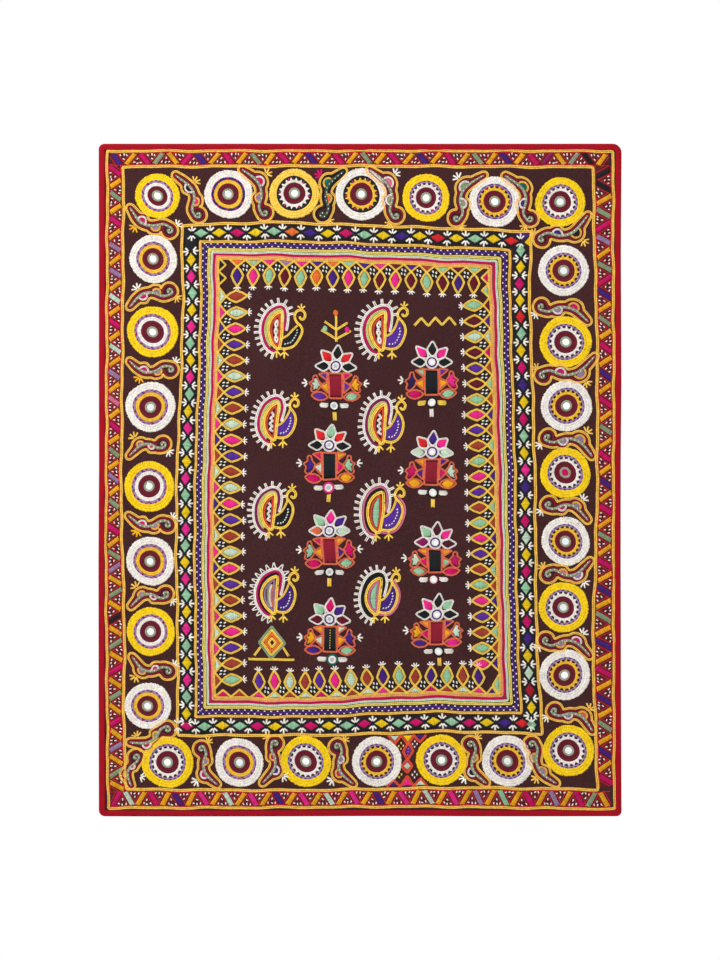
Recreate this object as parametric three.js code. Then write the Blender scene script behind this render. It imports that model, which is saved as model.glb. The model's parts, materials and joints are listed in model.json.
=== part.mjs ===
import * as THREE from 'three';

// Lengths are millimetres. X runs to the viewer's right, Y from the front to the wall and Z up.
// The top edge's middle is the origin, so the whole hanging lies below Z = 0.
const WIDTH = 916;
const HEIGHT = 1178;
const GAP = 0.3;

// Cloth panel
const CLOTH_THICK = 1.6;
const FACE = CLOTH_THICK / 2;
const CLOTH_SETBACK = 2.6;
const CORNER_STEPS = 5;
const SMALLEST_TURN = 0.9;

// Mirrors
const MIRROR_THICK = 1.2;
const MIRROR_SIDES = 14;
const ROUNDEL_MIRROR_RADIUS = 8.2;
const PETAL_MIRROR_RADIUS = 6.2;
const LOW_MIRROR_RADIUS = 6.0;

// Thread work raised on the cloth: roundels in two steps, and the ridges of the frames
const ROUNDEL_SIDES = 16;
const ROUNDEL_PROFILE = [
  { share: 0.975, rise: 0 }, { share: 0.96, rise: 1.2 }, { share: 0.66, rise: 1.2 },
  { share: 0.63, rise: 0.6 }, { share: 0.44, rise: 0.6 }, { share: 0.42, rise: 0 },
];
const EDGE_RIDGE = [
  { inset: 11.4, rise: 0 }, { inset: 12.2, rise: 0.8 }, { inset: 15.2, rise: 0.8 }, { inset: 16.2, rise: 0 },
];
const FRAME_PROFILE = [
  { share: -0.01, rise: 0 }, { share: 0.01, rise: 0.9 }, { share: 0.54, rise: 0.9 }, { share: 0.57, rise: 0.2 },
  { share: 0.7, rise: 0.2 }, { share: 0.72, rise: 0.8 }, { share: 1.01, rise: 0.8 }, { share: 1.03, rise: 0 },
];

// Corner radii of the outer edge
const CORNER = { topLeft: 10, topRight: 16, bottomRight: 9, bottomLeft: 11 };

// How far the outer edge leans in from the straight box, from the top down
const SIDE_LEAN = [
  { down: 0, left: 0.0, right: 0.0 }, { down: 190, left: 0.4, right: 1.3 },
  { down: 420, left: 0.3, right: 0.4 }, { down: 560, left: 0.6, right: 1.5 },
  { down: 740, left: -0.4, right: 1.7 }, { down: 930, left: -0.3, right: 1.3 },
  { down: 1178, left: 0.4, right: 0.0 },
];

// Roundels, clockwise from the top left corner: centre across and down, outer radius.
// Plain ones hold a satin centre in the mirror's place.
const ROUNDELS = [
  { x: -355, down: 92, radius: 40 }, { x: -230, down: 89, radius: 43 }, { x: -115.5, down: 88, radius: 44 },
  { x: 2, down: 89, radius: 46 }, { x: 116, down: 95, radius: 42.5 }, { x: 236.5, down: 102, radius: 45 },
  { x: 351, down: 103, radius: 44 }, { x: 357, down: 222, radius: 44.5 }, { x: 360, down: 347, radius: 46 },
  { x: 361.5, down: 459, radius: 45.5 }, { x: 360.5, down: 577, radius: 45, plain: true },
  { x: 361.5, down: 696, radius: 43 }, { x: 358, down: 811.5, radius: 44.5 }, { x: 360, down: 930, radius: 45 },
  { x: 366, down: 1063.5, radius: 45.5 }, { x: 258, down: 1081, radius: 45.5 }, { x: 142, down: 1079.5, radius: 44.5 },
  { x: 30, down: 1082.5, radius: 44 }, { x: -94.5, down: 1082, radius: 45 }, { x: -212, down: 1083.5, radius: 43 },
  { x: -337, down: 1083, radius: 45.5 }, { x: -371, down: 984.5, radius: 41.5 }, { x: -365.5, down: 854, radius: 43 },
  { x: -366.5, down: 731, radius: 43 }, { x: -369, down: 601, radius: 45 }, { x: -367, down: 461, radius: 44.5 },
  { x: -363, down: 329, radius: 45.5 }, { x: -362, down: 202, radius: 42.5 },
];

// Outer and inner rail of the frame round the centre, each side clockwise with both its corners
const OUTER_RAIL = {
  top: [{ x: -312.7, down: 143.3 }, { x: -148.4, down: 137.4 }, { x: 300.5, down: 153.8 }],
  right: [
    { x: 300.5, down: 153.8 }, { x: 297.3, down: 273.7 }, { x: 307.8, down: 588.7 },
    { x: 310.1, down: 868.7 }, { x: 319.6, down: 1033 },
  ],
  bottom: [
    { x: 319.6, down: 1033 }, { x: 140.4, down: 1028.7 }, { x: 70.4, down: 1031.8 },
    { x: -34.7, down: 1035.5 }, { x: -319.2, down: 1036.2 },
  ],
  left: [
    { x: -319.2, down: 1036.2 }, { x: -318.7, down: 868.7 }, { x: -321.8, down: 711.2 },
    { x: -320.8, down: 553.7 }, { x: -314.8, down: 448.7 }, { x: -309.8, down: 273.7 }, { x: -312.7, down: 143.3 },
  ],
};
const INNER_RAIL = {
  top: [{ x: -249, down: 199.3 }, { x: -20, down: 204 }, { x: 227.9, down: 216 }],
  right: [{ x: 227.9, down: 216 }, { x: 240, down: 590 }, { x: 247.5, down: 965.1 }],
  bottom: [
    { x: 247.5, down: 965.1 }, { x: 140.4, down: 962.7 }, { x: 70.4, down: 963.7 },
    { x: -87.2, down: 974 }, { x: -256.4, down: 970.9 },
  ],
  left: [
    { x: -256.4, down: 970.9 }, { x: -259.5, down: 700 }, { x: -258.5, down: 553.7 },
    { x: -249.4, down: 290 }, { x: -249, down: 199.3 },
  ],
};

// Flower figures: mirror between the petals, and the small mirror below the panel
const FLOWERS = [
  { x: -42.4, down: 389.7, lowX: -45.3, lowDown: 458 }, { x: 125.1, down: 381.9, lowX: 126.7, lowDown: 454.1 },
  { x: -53, down: 527.6, lowX: -55.7, lowDown: 601.8 }, { x: 126, down: 540.4, lowX: 128.6, lowDown: 611.3 },
  { x: -52.7, down: 677.6, lowX: -53, lowDown: 751.3 }, { x: 133, down: 698.3, lowX: 130.4, lowDown: 763 },
  { x: -52.5, down: 833.5, lowX: -48.7, lowDown: 903.2 }, { x: 135.5, down: 823.9, lowX: 139, lowDown: 889.2 },
];

// Binding: a folded strip, front leaf, rolled edge and back leaf, with the cloth's edge in its fold
const BINDING_PROFILE = [
  { inset: 10.5, off: 1.9 }, { inset: 9, off: 2.3 }, { inset: 5.5, off: 2.55 }, { inset: 2, off: 2.2 },
  { inset: 0, off: 0.8 }, { inset: 0, off: -0.8 }, { inset: 2, off: -2.2 }, { inset: 9, off: -2.3 },
  { inset: 10.5, off: -1.9 }, { inset: 10.5, off: -1.1 }, { inset: 2.3, off: -1.1 }, { inset: 2.3, off: 1.1 },
  { inset: 10.5, off: 1.1 },
];

const GROUND_COTTON = { color: 0x402324, roughness: 0.85, metalness: 0 };
const BINDING_COTTON = { color: 0xad1429, roughness: 0.8, metalness: 0 };
const MIRROR_GLASS = { color: 0xc4c9cc, roughness: 0.1, metalness: 0.9 };

// Distance of the cloth's middle from the hanging plane: soft cockles that grow down the panel
function drape(x, z) {
  const down = -z / HEIGHT;
  const fall = 0.25 + 0.75 * down;
  const broad = 2.2 * Math.sin(x / 95 + 0.7 * down + 0.6);
  const narrow = 0.5 * Math.sin(x / 50 - 1.6 * down + 2.1);
  const across = 1.0 * Math.sin(-z / 100 + x / 260 + 0.4);
  return fall * (broad + narrow + across);
}

function lean(z, side) {
  const down = Math.min(Math.max(-z, 0), HEIGHT);
  let index = 0;
  while (index < SIDE_LEAN.length - 2 && SIDE_LEAN[index + 1].down < down) index += 1;
  const above = SIDE_LEAN[index];
  const below = SIDE_LEAN[index + 1];
  const share = (down - above.down) / (below.down - above.down);
  const soft = share * share * (3 - 2 * share);
  return above[side] * (1 - soft) + below[side] * soft;
}

// Moves a flat point to its place on the hung cloth; off is the height in front of the cloth's middle
function place([x, z], off) {
  const across = (x + WIDTH / 2) / WIDTH;
  const shifted = x + lean(z, 'left') * (1 - across) - lean(z, 'right') * across;
  return [shifted, drape(x, z) - off, z];
}

const mix = (a, b, share) => [a[0] + (b[0] - a[0]) * share, a[1] + (b[1] - a[1]) * share];

// Point of a rail's side at a share of its run
function railPoint(side, share) {
  const points = side.map((row) => [row.x, -row.down]);
  const lengths = points.slice(1).map((point, i) => Math.hypot(point[0] - points[i][0], point[1] - points[i][1]));
  let rest = share * lengths.reduce((sum, length) => sum + length, 0);
  let index = 0;
  while (index < lengths.length - 1 && rest > lengths[index]) {
    rest -= lengths[index];
    index += 1;
  }
  return mix(points[index], points[index + 1], rest / lengths[index]);
}

// Roundels of one side without the corners, and the border between two neighbours
const SIDES = [
  { name: 'top', corner: 0, from: 1, to: 5 }, { name: 'right', corner: 6, from: 7, to: 13 },
  { name: 'bottom', corner: 14, from: 15, to: 19 }, { name: 'left', corner: 20, from: 21, to: 27 },
];
const total = ROUNDELS.length;
const centre = (index) => [ROUNDELS[index % total].x, -ROUNDELS[index % total].down];
const borderMiddle = (index) => {
  const a = ROUNDELS[index % total];
  const b = ROUNDELS[(index + 1) % total];
  const apart = Math.hypot(b.x - a.x, b.down - a.down);
  return mix(centre(index), centre(index + 1), (a.radius + (apart - a.radius - b.radius) / 2) / apart);
};

// Outer loops: every border and every roundel's middle, with an arc at each corner
function edgeLoop(inset) {
  const left = -WIDTH / 2 + inset;
  const right = WIDTH / 2 - inset;
  const top = -inset;
  const bottom = -HEIGHT + inset;
  const corners = {
    top: { x: left, z: top, sx: 1, sz: -1, radius: CORNER.topLeft, from: Math.PI },
    right: { x: right, z: top, sx: -1, sz: -1, radius: CORNER.topRight, from: Math.PI / 2 },
    bottom: { x: right, z: bottom, sx: -1, sz: 1, radius: CORNER.bottomRight, from: 0 },
    left: { x: left, z: bottom, sx: 1, sz: 1, radius: CORNER.bottomLeft, from: -Math.PI / 2 },
  };
  const straight = {
    top: ([x]) => [x, top], right: ([, z]) => [right, z], bottom: ([x]) => [x, bottom], left: ([, z]) => [left, z],
  };
  const loop = [];
  SIDES.forEach((side) => {
    const corner = corners[side.name];
    const turn = Math.max(corner.radius - inset, SMALLEST_TURN);
    for (let step = 0; step <= CORNER_STEPS; step += 1) {
      const angle = corner.from - (Math.PI / 2) * (step / CORNER_STEPS);
      const x = corner.x + corner.sx * turn + turn * Math.cos(angle);
      loop.push([x, corner.z + corner.sz * turn + turn * Math.sin(angle)]);
    }
    loop.push(straight[side.name](borderMiddle(side.corner)));
    for (let index = side.from; index <= side.to; index += 1) {
      loop.push(straight[side.name](centre(index)), straight[side.name](borderMiddle(index)));
    }
  });
  return loop;
}

// Frame loops: two stations for every roundel that isn't at a corner
function frameLoop(share) {
  const loop = [];
  SIDES.forEach((side) => {
    const axis = side.name === 'top' || side.name === 'bottom' ? 0 : 1;
    const rail = OUTER_RAIL[side.name].map((row) => [row.x, -row.down]);
    const start = rail[0][axis];
    const run = rail[rail.length - 1][axis] - start;
    const station = (value) => {
      const along = (value - start) / run;
      return mix(railPoint(OUTER_RAIL[side.name], along), railPoint(INNER_RAIL[side.name], along), share);
    };
    loop.push(station(start));
    for (let index = side.from; index <= side.to; index += 1) {
      loop.push(station(centre(index)[axis]));
      if (index < side.to) loop.push(station(borderMiddle(index)[axis]));
    }
  });
  return loop;
}

function meshFrom(points, faces, name, look) {
  const geometry = new THREE.BufferGeometry();
  geometry.setAttribute('position', new THREE.Float32BufferAttribute(points.flat(), 3));
  geometry.setIndex(faces.flat());
  geometry.computeVertexNormals();
  const mesh = new THREE.Mesh(geometry, new THREE.MeshStandardMaterial(look));
  mesh.name = name;
  return mesh;
}

// Collects points and clockwise faces of one side of the cloth
class Face {
  constructor() {
    this.points = [];
    this.faces = [];
  }

  add(flat, off) {
    this.points.push(place(flat, off));
    return this.points.length - 1;
  }

  loop(list, off) {
    return list.map((flat) => this.add(flat, off));
  }

  band(outer, inner) {
    outer.forEach((a, step) => {
      const next = (step + 1) % outer.length;
      this.faces.push([a, outer[next], inner[next]], [a, inner[next], inner[step]]);
    });
  }

  // Joins a polygon to a ring inside it, both clockwise, in the order of their angles round the middle
  zip(polygon, polygonFlat, ring, ringFlat, middle) {
    const turn = (flat) => -Math.atan2(flat[1] - middle[1], flat[0] - middle[0]);
    const sorted = (ids, flats) => ids.map((id, i) => ({ id, angle: turn(flats[i]) })).sort((p, q) => p.angle - q.angle);
    const outer = sorted(polygon, polygonFlat);
    const inner = sorted(ring, ringFlat);
    const angleOf = (list, index) => list[index % list.length].angle + 2 * Math.PI * Math.floor(index / list.length);
    let i = 0;
    let j = 0;
    while (i < outer.length || j < inner.length) {
      const a = outer[i % outer.length].id;
      const b = inner[j % inner.length].id;
      if (j >= inner.length || (i < outer.length && angleOf(outer, i + 1) <= angleOf(inner, j + 1))) {
        this.faces.push([a, outer[(i + 1) % outer.length].id, b]);
        i += 1;
      } else {
        this.faces.push([a, inner[(j + 1) % inner.length].id, b]);
        j += 1;
      }
    }
  }
}

// Ids of the polygon round each roundel, from the edge loop, the borders' middles and the frame loop
function cellPolygons(edge, middles, frame) {
  const cells = [];
  let onEdge = 0;
  let onFrame = 0;
  SIDES.forEach((side) => {
    const arc = edge.slice(onEdge, onEdge + CORNER_STEPS + 1);
    const before = edge[(onEdge + edge.length - 1) % edge.length];
    onEdge += CORNER_STEPS + 1;
    cells[side.corner] = [
      before, ...arc, edge[onEdge], middles[side.corner], frame[onFrame], middles[(side.corner + total - 1) % total],
    ];
    for (let index = side.from; index <= side.to; index += 1) {
      cells[index] = [
        edge[onEdge], edge[onEdge + 1], edge[onEdge + 2], middles[index],
        frame[(onFrame + 2) % frame.length], frame[onFrame + 1], frame[onFrame], middles[index - 1],
      ];
      onEdge += 2;
      onFrame += 2;
    }
    onEdge += 1;
  });
  return cells;
}

// Grid inside the frame, blended from its four sides
function centreGrid(face, ids, flats, off) {
  const across = 2 * (SIDES[0].to - SIDES[0].from + 1);
  const downward = 2 * (SIDES[1].to - SIDES[1].from + 1);
  const wrap = (index) => (index + ids.length) % ids.length;
  const sideIndex = {
    top: (i) => wrap(i), right: (j) => wrap(across + j),
    bottom: (i) => wrap(2 * across + downward - i), left: (j) => wrap(-j),
  };
  const grid = [];
  for (let row = 0; row <= downward; row += 1) {
    grid.push([]);
    for (let column = 0; column <= across; column += 1) {
      const onRim = row === 0 ? sideIndex.top(column) : row === downward ? sideIndex.bottom(column)
        : column === 0 ? sideIndex.left(row) : column === across ? sideIndex.right(row) : -1;
      if (onRim >= 0) {
        grid[row].push(ids[onRim]);
      } else {
        const u = column / across;
        const v = row / downward;
        const flat = [0, 1].map((axis) => {
          const at = (index) => flats[index][axis];
          const ruled = (1 - v) * at(sideIndex.top(column)) + v * at(sideIndex.bottom(column))
            + (1 - u) * at(sideIndex.left(row)) + u * at(sideIndex.right(row));
          const corners = (1 - u) * (1 - v) * at(0) + u * (1 - v) * at(across)
            + u * v * at(across + downward) + (1 - u) * v * at(sideIndex.bottom(0));
          return ruled - corners;
        });
        grid[row].push(face.add(flat, off));
      }
    }
  }
  for (let row = 0; row < downward; row += 1) {
    for (let column = 0; column < across; column += 1) {
      const [a, b, c, d] = [grid[row][column], grid[row][column + 1], grid[row + 1][column + 1], grid[row + 1][column]];
      if ((row + column) % 2) face.faces.push([a, b, c], [a, c, d]);
      else face.faces.push([a, b, d], [b, c, d]);
    }
  }
}

const circleFlat = (roundel, radius, sides) => Array.from({ length: sides }, (_, side) => {
  const angle = (-2 * Math.PI * side) / sides;
  return [roundel.x + radius * Math.cos(angle), -roundel.down + radius * Math.sin(angle)];
});

// One side of the cloth: rim, edge ridge, roundels, frame and centre; raised is 1 in front and 0 behind
function clothSide(sign, raised) {
  const face = new Face();
  const height = (rise) => sign * (FACE + raised * rise);
  const rim = face.loop(edgeLoop(CLOTH_SETBACK), height(0));
  let edge = rim;
  const edgeRows = raised ? EDGE_RIDGE : EDGE_RIDGE.slice(-1);
  edgeRows.forEach((row) => {
    const next = face.loop(edgeLoop(row.inset), height(row.rise));
    face.band(edge, next);
    edge = next;
  });
  const edgeFlat = edgeLoop(edgeRows[edgeRows.length - 1].inset);
  const middleFlat = ROUNDELS.map((_, index) => borderMiddle(index));
  const middles = face.loop(middleFlat, height(0));
  const frameRows = raised ? FRAME_PROFILE : [FRAME_PROFILE[0], FRAME_PROFILE[FRAME_PROFILE.length - 1]];
  const frames = frameRows.map((row) => face.loop(frameLoop(row.share), height(row.rise)));
  const frameFlat = frameLoop(frameRows[0].share);
  const cells = cellPolygons(edge, middles, frames[0]);
  const cellFlats = cellPolygons(edgeFlat, middleFlat, frameFlat);
  ROUNDELS.forEach((roundel, index) => {
    const hub = face.add(centre(index), height(0));
    if (!raised) {
      cells[index].forEach((a, step) => face.faces.push([a, cells[index][(step + 1) % cells[index].length], hub]));
      return;
    }
    const rings = ROUNDEL_PROFILE.map((row) =>
      face.loop(circleFlat(roundel, roundel.radius * row.share, ROUNDEL_SIDES), height(row.rise)));
    const outermost = circleFlat(roundel, roundel.radius, ROUNDEL_SIDES);
    face.zip(cells[index], cellFlats[index], rings[0], outermost, centre(index));
    for (let step = 0; step < rings.length - 1; step += 1) face.band(rings[step], rings[step + 1]);
    const last = rings[rings.length - 1];
    last.forEach((a, step) => face.faces.push([a, last[(step + 1) % last.length], hub]));
  });
  for (let step = 0; step < frames.length - 1; step += 1) face.band(frames[step], frames[step + 1]);
  centreGrid(face, frames[frames.length - 1], frameLoop(frameRows[frameRows.length - 1].share), height(0));
  return { face, rim };
}

const front = clothSide(1, 1);
const back = clothSide(-1, 0);

function groundCloth() {
  const shift = front.face.points.length;
  const faces = front.face.faces.map(([a, b, c]) => [a, c, b]);
  back.face.faces.forEach(([a, b, c]) => faces.push([a + shift, b + shift, c + shift]));
  front.rim.forEach((a, step) => {
    const next = (step + 1) % front.rim.length;
    const b = front.rim[next];
    const c = back.rim[next] + shift;
    const d = back.rim[step] + shift;
    faces.push([a, b, c], [a, c, d]);
  });
  return meshFrom([...front.face.points, ...back.face.points], faces, 'ground_cloth', GROUND_COTTON);
}

function binding() {
  const loops = BINDING_PROFILE.map((row) => edgeLoop(row.inset).map((flat) => place(flat, row.off)));
  const count = loops[0].length;
  const faces = [];
  loops.forEach((_, row) => {
    const nextRow = (row + 1) % loops.length;
    for (let step = 0; step < count; step += 1) {
      const next = (step + 1) % count;
      const b = nextRow * count + next;
      faces.push([row * count + step, row * count + next, b], [row * count + step, b, nextRow * count + step]);
    }
  });
  return meshFrom(loops.flat(), faces, 'edge_binding', BINDING_COTTON);
}

// Depth of the cloth's front at a place, read from the facet that covers it
function clothDepth(x, z) {
  const { points, faces } = front.face;
  const hit = faces.map(([a, b, c]) => {
    const [p, q, r] = [points[a], points[b], points[c]];
    const area = (q[0] - p[0]) * (r[2] - p[2]) - (r[0] - p[0]) * (q[2] - p[2]);
    const u = ((x - p[0]) * (r[2] - p[2]) - (r[0] - p[0]) * (z - p[2])) / area;
    const v = ((q[0] - p[0]) * (z - p[2]) - (x - p[0]) * (q[2] - p[2])) / area;
    return u >= -1e-6 && v >= -1e-6 && u + v <= 1 + 1e-6 ? p[1] + u * (q[1] - p[1]) + v * (r[1] - p[1]) : null;
  }).find((depth) => depth !== null);
  return hit;
}

// Mirror: a thin disc that lies parallel to the cloth under it
function mirror(x, down, radius, name) {
  const disc = (size, off) => circleFlat({ x, down }, size, MIRROR_SIDES).map((flat) => {
    const [px, , pz] = place(flat, 0);
    return [px, clothDepth(px, pz) - off, pz];
  });
  const points = [...disc(radius, GAP), ...disc(radius - 0.4, GAP + MIRROR_THICK)];
  const faces = [];
  for (let side = 0; side < MIRROR_SIDES; side += 1) {
    const next = (side + 1) % MIRROR_SIDES;
    faces.push([side, next + MIRROR_SIDES, next], [side, side + MIRROR_SIDES, next + MIRROR_SIDES]);
  }
  for (let side = 1; side < MIRROR_SIDES - 1; side += 1) {
    faces.push([0, side, side + 1], [MIRROR_SIDES, MIRROR_SIDES + side + 1, MIRROR_SIDES + side]);
  }
  return meshFrom(points, faces, name, MIRROR_GLASS);
}

const hanging = new THREE.Group();
hanging.name = 'mirror_work_wall_hanging';
hanging.add(groundCloth());
hanging.add(binding());

const pad = (number) => String(number).padStart(2, '0');
ROUNDELS.filter((roundel) => !roundel.plain).forEach((roundel, index) => {
  hanging.add(mirror(roundel.x, roundel.down, ROUNDEL_MIRROR_RADIUS, `mirror_${pad(index + 1)}`));
});
FLOWERS.forEach((flower, index) => {
  hanging.add(mirror(flower.x, flower.down, PETAL_MIRROR_RADIUS, `petal_mirror_${pad(index + 1)}`));
  hanging.add(mirror(flower.lowX, flower.lowDown, LOW_MIRROR_RADIUS, `low_mirror_${pad(index + 1)}`));
});

export default hanging;
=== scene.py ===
"""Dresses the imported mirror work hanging: cloth, binding, mirrors and all its hand stitching."""

import json
import math

import bpy
import numpy as np
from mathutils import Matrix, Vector

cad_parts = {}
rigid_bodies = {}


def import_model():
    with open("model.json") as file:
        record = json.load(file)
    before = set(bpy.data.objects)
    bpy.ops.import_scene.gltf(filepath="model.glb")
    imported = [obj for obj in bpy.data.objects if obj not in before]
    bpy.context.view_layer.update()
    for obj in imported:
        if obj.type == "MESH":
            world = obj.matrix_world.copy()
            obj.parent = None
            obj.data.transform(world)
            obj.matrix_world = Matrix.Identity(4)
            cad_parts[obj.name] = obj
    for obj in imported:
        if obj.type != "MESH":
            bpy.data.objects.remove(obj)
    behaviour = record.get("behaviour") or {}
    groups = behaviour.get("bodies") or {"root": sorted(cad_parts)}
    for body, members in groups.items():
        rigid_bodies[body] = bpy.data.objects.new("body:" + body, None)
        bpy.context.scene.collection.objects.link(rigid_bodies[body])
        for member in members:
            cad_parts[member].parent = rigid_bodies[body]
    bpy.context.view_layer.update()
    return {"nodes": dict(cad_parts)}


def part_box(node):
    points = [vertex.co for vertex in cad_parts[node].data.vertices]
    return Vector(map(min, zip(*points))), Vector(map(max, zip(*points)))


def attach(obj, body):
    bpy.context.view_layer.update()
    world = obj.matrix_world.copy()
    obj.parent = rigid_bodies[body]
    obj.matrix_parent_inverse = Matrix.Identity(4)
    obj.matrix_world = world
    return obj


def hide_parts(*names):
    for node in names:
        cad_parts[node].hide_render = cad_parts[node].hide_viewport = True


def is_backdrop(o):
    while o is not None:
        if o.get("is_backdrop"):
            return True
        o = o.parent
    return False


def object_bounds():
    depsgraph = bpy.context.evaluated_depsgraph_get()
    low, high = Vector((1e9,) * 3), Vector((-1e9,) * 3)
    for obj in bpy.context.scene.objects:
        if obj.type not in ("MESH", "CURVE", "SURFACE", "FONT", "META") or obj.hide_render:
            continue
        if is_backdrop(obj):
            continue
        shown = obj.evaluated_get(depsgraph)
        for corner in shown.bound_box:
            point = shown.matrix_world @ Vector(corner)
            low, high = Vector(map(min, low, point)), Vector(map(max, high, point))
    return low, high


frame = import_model()

bl_info = {
    "name": "Mirror work hanging",
    "version": (1, 0, 0),
    "blender": (4, 5, 0),
    "location": "View3D > Sidebar > Hanging",
    "description": "Builds the stitched cloth, binding and mirrors on the packed frame",
    "category": "Object",
}

# Sizes in millimetres, from the frame where it gives them
MM = 0.001
BINDING_LOW, BINDING_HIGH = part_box("edge_binding")
WIDTH = 916.0
HEIGHT = round((BINDING_HIGH[2] - BINDING_LOW[2]) / MM)
CLOTH_THICK = 1.6
CLOTH_SETBACK = 2.6


def linear(red, green, blue):
    """Display colour from 0 to 255 as linear light."""
    channels = np.array([red, green, blue]) / 255
    return tuple(np.where(channels <= 0.04045, channels / 12.92, ((channels + 0.055) / 1.055) ** 2.4))


# Colours of the threads, under an even daylight
THREADS = {
    "yellow": linear(244, 207, 22),
    "gold": linear(238, 190, 82),
    "straw": linear(246, 206, 84),
    "brass": linear(226, 204, 106),
    "peach": linear(246, 166, 116),
    "amber": linear(240, 174, 24),
    "white": linear(236, 230, 222),
    "honey": linear(236, 188, 54),
    "vermilion": linear(226, 82, 54),
    "pistachio": linear(206, 204, 128),
    "lavender": linear(163, 132, 172),
    "violet": linear(72, 36, 134),
    "purple": linear(96, 48, 160),
    "ink": linear(44, 26, 84),
    "magenta": linear(214, 10, 108),
    "raspberry": linear(198, 14, 84),
    "plum": linear(150, 28, 100),
    "pink": linear(240, 44, 148),
    "mint": linear(158, 206, 168),
    "sage": linear(146, 166, 128),
    "pale": linear(206, 226, 204),
    "maroon": linear(108, 22, 42),
    "wine": linear(148, 24, 48),
    "brown": linear(84, 28, 44),
    "umber": linear(88, 22, 28),
    "rust": linear(172, 68, 52),
    "coral": linear(228, 116, 82),
    "orange": linear(238, 120, 50),
    "red": linear(226, 40, 44),
    "crimson": linear(180, 22, 44),
    "scarlet": linear(204, 30, 36),
    "black": linear(26, 28, 32),
    "teal": linear(22, 112, 96),
    "grey": linear(158, 162, 136),
    "moss": linear(70, 92, 78),
    "rose": linear(222, 120, 150),
}

# Places below are in millimetres across and down from the middle of the top edge

# Radii of the corners, and the lean of both sides at some depths
CORNERS = {"top_left": 10, "top_right": 16, "bottom_right": 9, "bottom_left": 11}
LEAN_DOWN = (0, 190, 420, 560, 740, 930, 1178)
LEAN_LEFT = (0.0, 0.4, 0.3, 0.6, -0.4, -0.3, 0.4)
LEAN_RIGHT = (0.0, 1.3, 0.4, 1.5, 1.7, 1.3, 0.0)

# Roundels, clockwise from the top left corner: across, down, radius, outer thread and inner form
ROUNDELS = [
    (-355, 92, 40, "yellow", "rings"), (-230, 89, 43, "white", "violet_rings"),
    (-115.5, 88, 44, "straw", "dark_rays"), (2, 89, 46, "white", "dark_rays"),
    (116, 95, 42.5, "yellow", "rays"), (236.5, 102, 45, "white", "violet_rays"),
    (351, 103, 44, "yellow", "rays"), (357, 222, 44.5, "white", "rays"),
    (360, 347, 46, "yellow", "rays"), (361.5, 459, 45.5, "white", "rays"),
    (360.5, 577, 45, "yellow", "satin_centre"), (361.5, 696, 43, "white", "rays"),
    (358, 811.5, 44.5, "yellow", "rays"), (360, 930, 45, "white", "rays"),
    (366, 1063.5, 45.5, "yellow", "rays"), (258, 1081, 45.5, "white", "rays"),
    (142, 1079.5, 44.5, "yellow", "rays"), (30, 1082.5, 44, "white", "rays"),
    (-94.5, 1082, 45, "yellow", "rays"), (-212, 1083.5, 43, "white", "rings"),
    (-337, 1083, 45.5, "yellow", "rays"), (-371, 984.5, 41.5, "white", "rings"),
    (-365.5, 854, 43, "yellow", "rings"), (-366.5, 731, 43, "white", "rings"),
    (-369, 601, 45, "yellow", "rings"), (-367, 461, 44.5, "white", "rings"),
    (-363, 329, 45.5, "yellow", "rings"), (-362, 202, 42.5, "white", "rings"),
]

# Flower figures: mirror, low mirror, threads of the petals from the left, of the panel, of the shapes beside
# it, near and far, of the bars, of the drop and round the low mirror
FLOWERS = [
    ((-42.4, 389.7), (-45.3, 458.0), "black red black red black", "wine", "purple amber magenta purple",
     "pale purple amber mint", "white", "straw", "black"),
    ((125.1, 381.9), (126.7, 454.1), "black pink black pink black", "black", "mint amber purple amber",
     "ink magenta pink mint", "straw", "white", "black"),
    ((-53.0, 527.6), (-55.7, 601.8), "black red mint red black", "black", "magenta pale amber magenta",
     "violet magenta mint amber", "white", "straw", "pink"),
    ((126.0, 540.4), (128.6, 611.3), "pale red violet pink pale", "wine", "amber violet violet magenta",
     "magenta amber pale amber", "white", "straw", "black"),
    ((-52.7, 677.6), (-53.0, 751.3), "coral mint pink violet pale", "wine", "magenta amber amber violet",
     "mint magenta magenta mint", "white", "straw", "black"),
    ((133.0, 698.3), (130.4, 763.0), "plum mint brown pink brown", "black", "amber magenta amber mint",
     "pale mint magenta magenta", "white", "", "maroon"),
    ((-52.5, 833.5), (-48.7, 903.2), "maroon mint magenta violet maroon", "black", "amber pale pale amber",
     "amber violet violet mint", "white", "", "teal"),
    ((135.5, 823.9), (139.0, 889.2), "black pink black mint black", "wine", "amber magenta violet amber",
     "amber violet pale pink", "white", "gold", "black"),
]

# Rails of the frames, clockwise from the top left corner
EDGE_RAIL = [
    (-442.8, 12.8), (0, 12), (443.6, 12.8), (445.7, 590), (445.7, 1165.5), (140, 1161), (-160, 1162.5),
    (-441.7, 1163.2), (-445.4, 660), (-445.0, 560),
]
BAND_RAIL = [
    (-414.6, 40.3), (0, 39), (408, 41), (415, 309), (417, 590), (413.9, 730), (408.6, 868), (416, 1131),
    (200, 1127.7), (-100, 1132.5), (-409.7, 1130.6), (-414.2, 1008), (-412.1, 868), (-415.3, 730),
    (-419, 624), (-416, 300),
]
OUTER_RAIL = {
    "top": [(-312.7, 143.3), (-148.4, 137.4), (300.5, 153.8)],
    "right": [(300.5, 153.8), (297.3, 273.7), (307.8, 588.7), (310.1, 868.7), (319.6, 1033)],
    "bottom": [(319.6, 1033), (140.4, 1028.7), (70.4, 1031.8), (-34.7, 1035.5), (-319.2, 1036.2)],
    "left": [
        (-319.2, 1036.2), (-318.7, 868.7), (-321.8, 711.2), (-320.8, 553.7), (-314.8, 448.7),
        (-309.8, 273.7), (-312.7, 143.3),
    ],
}
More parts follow.
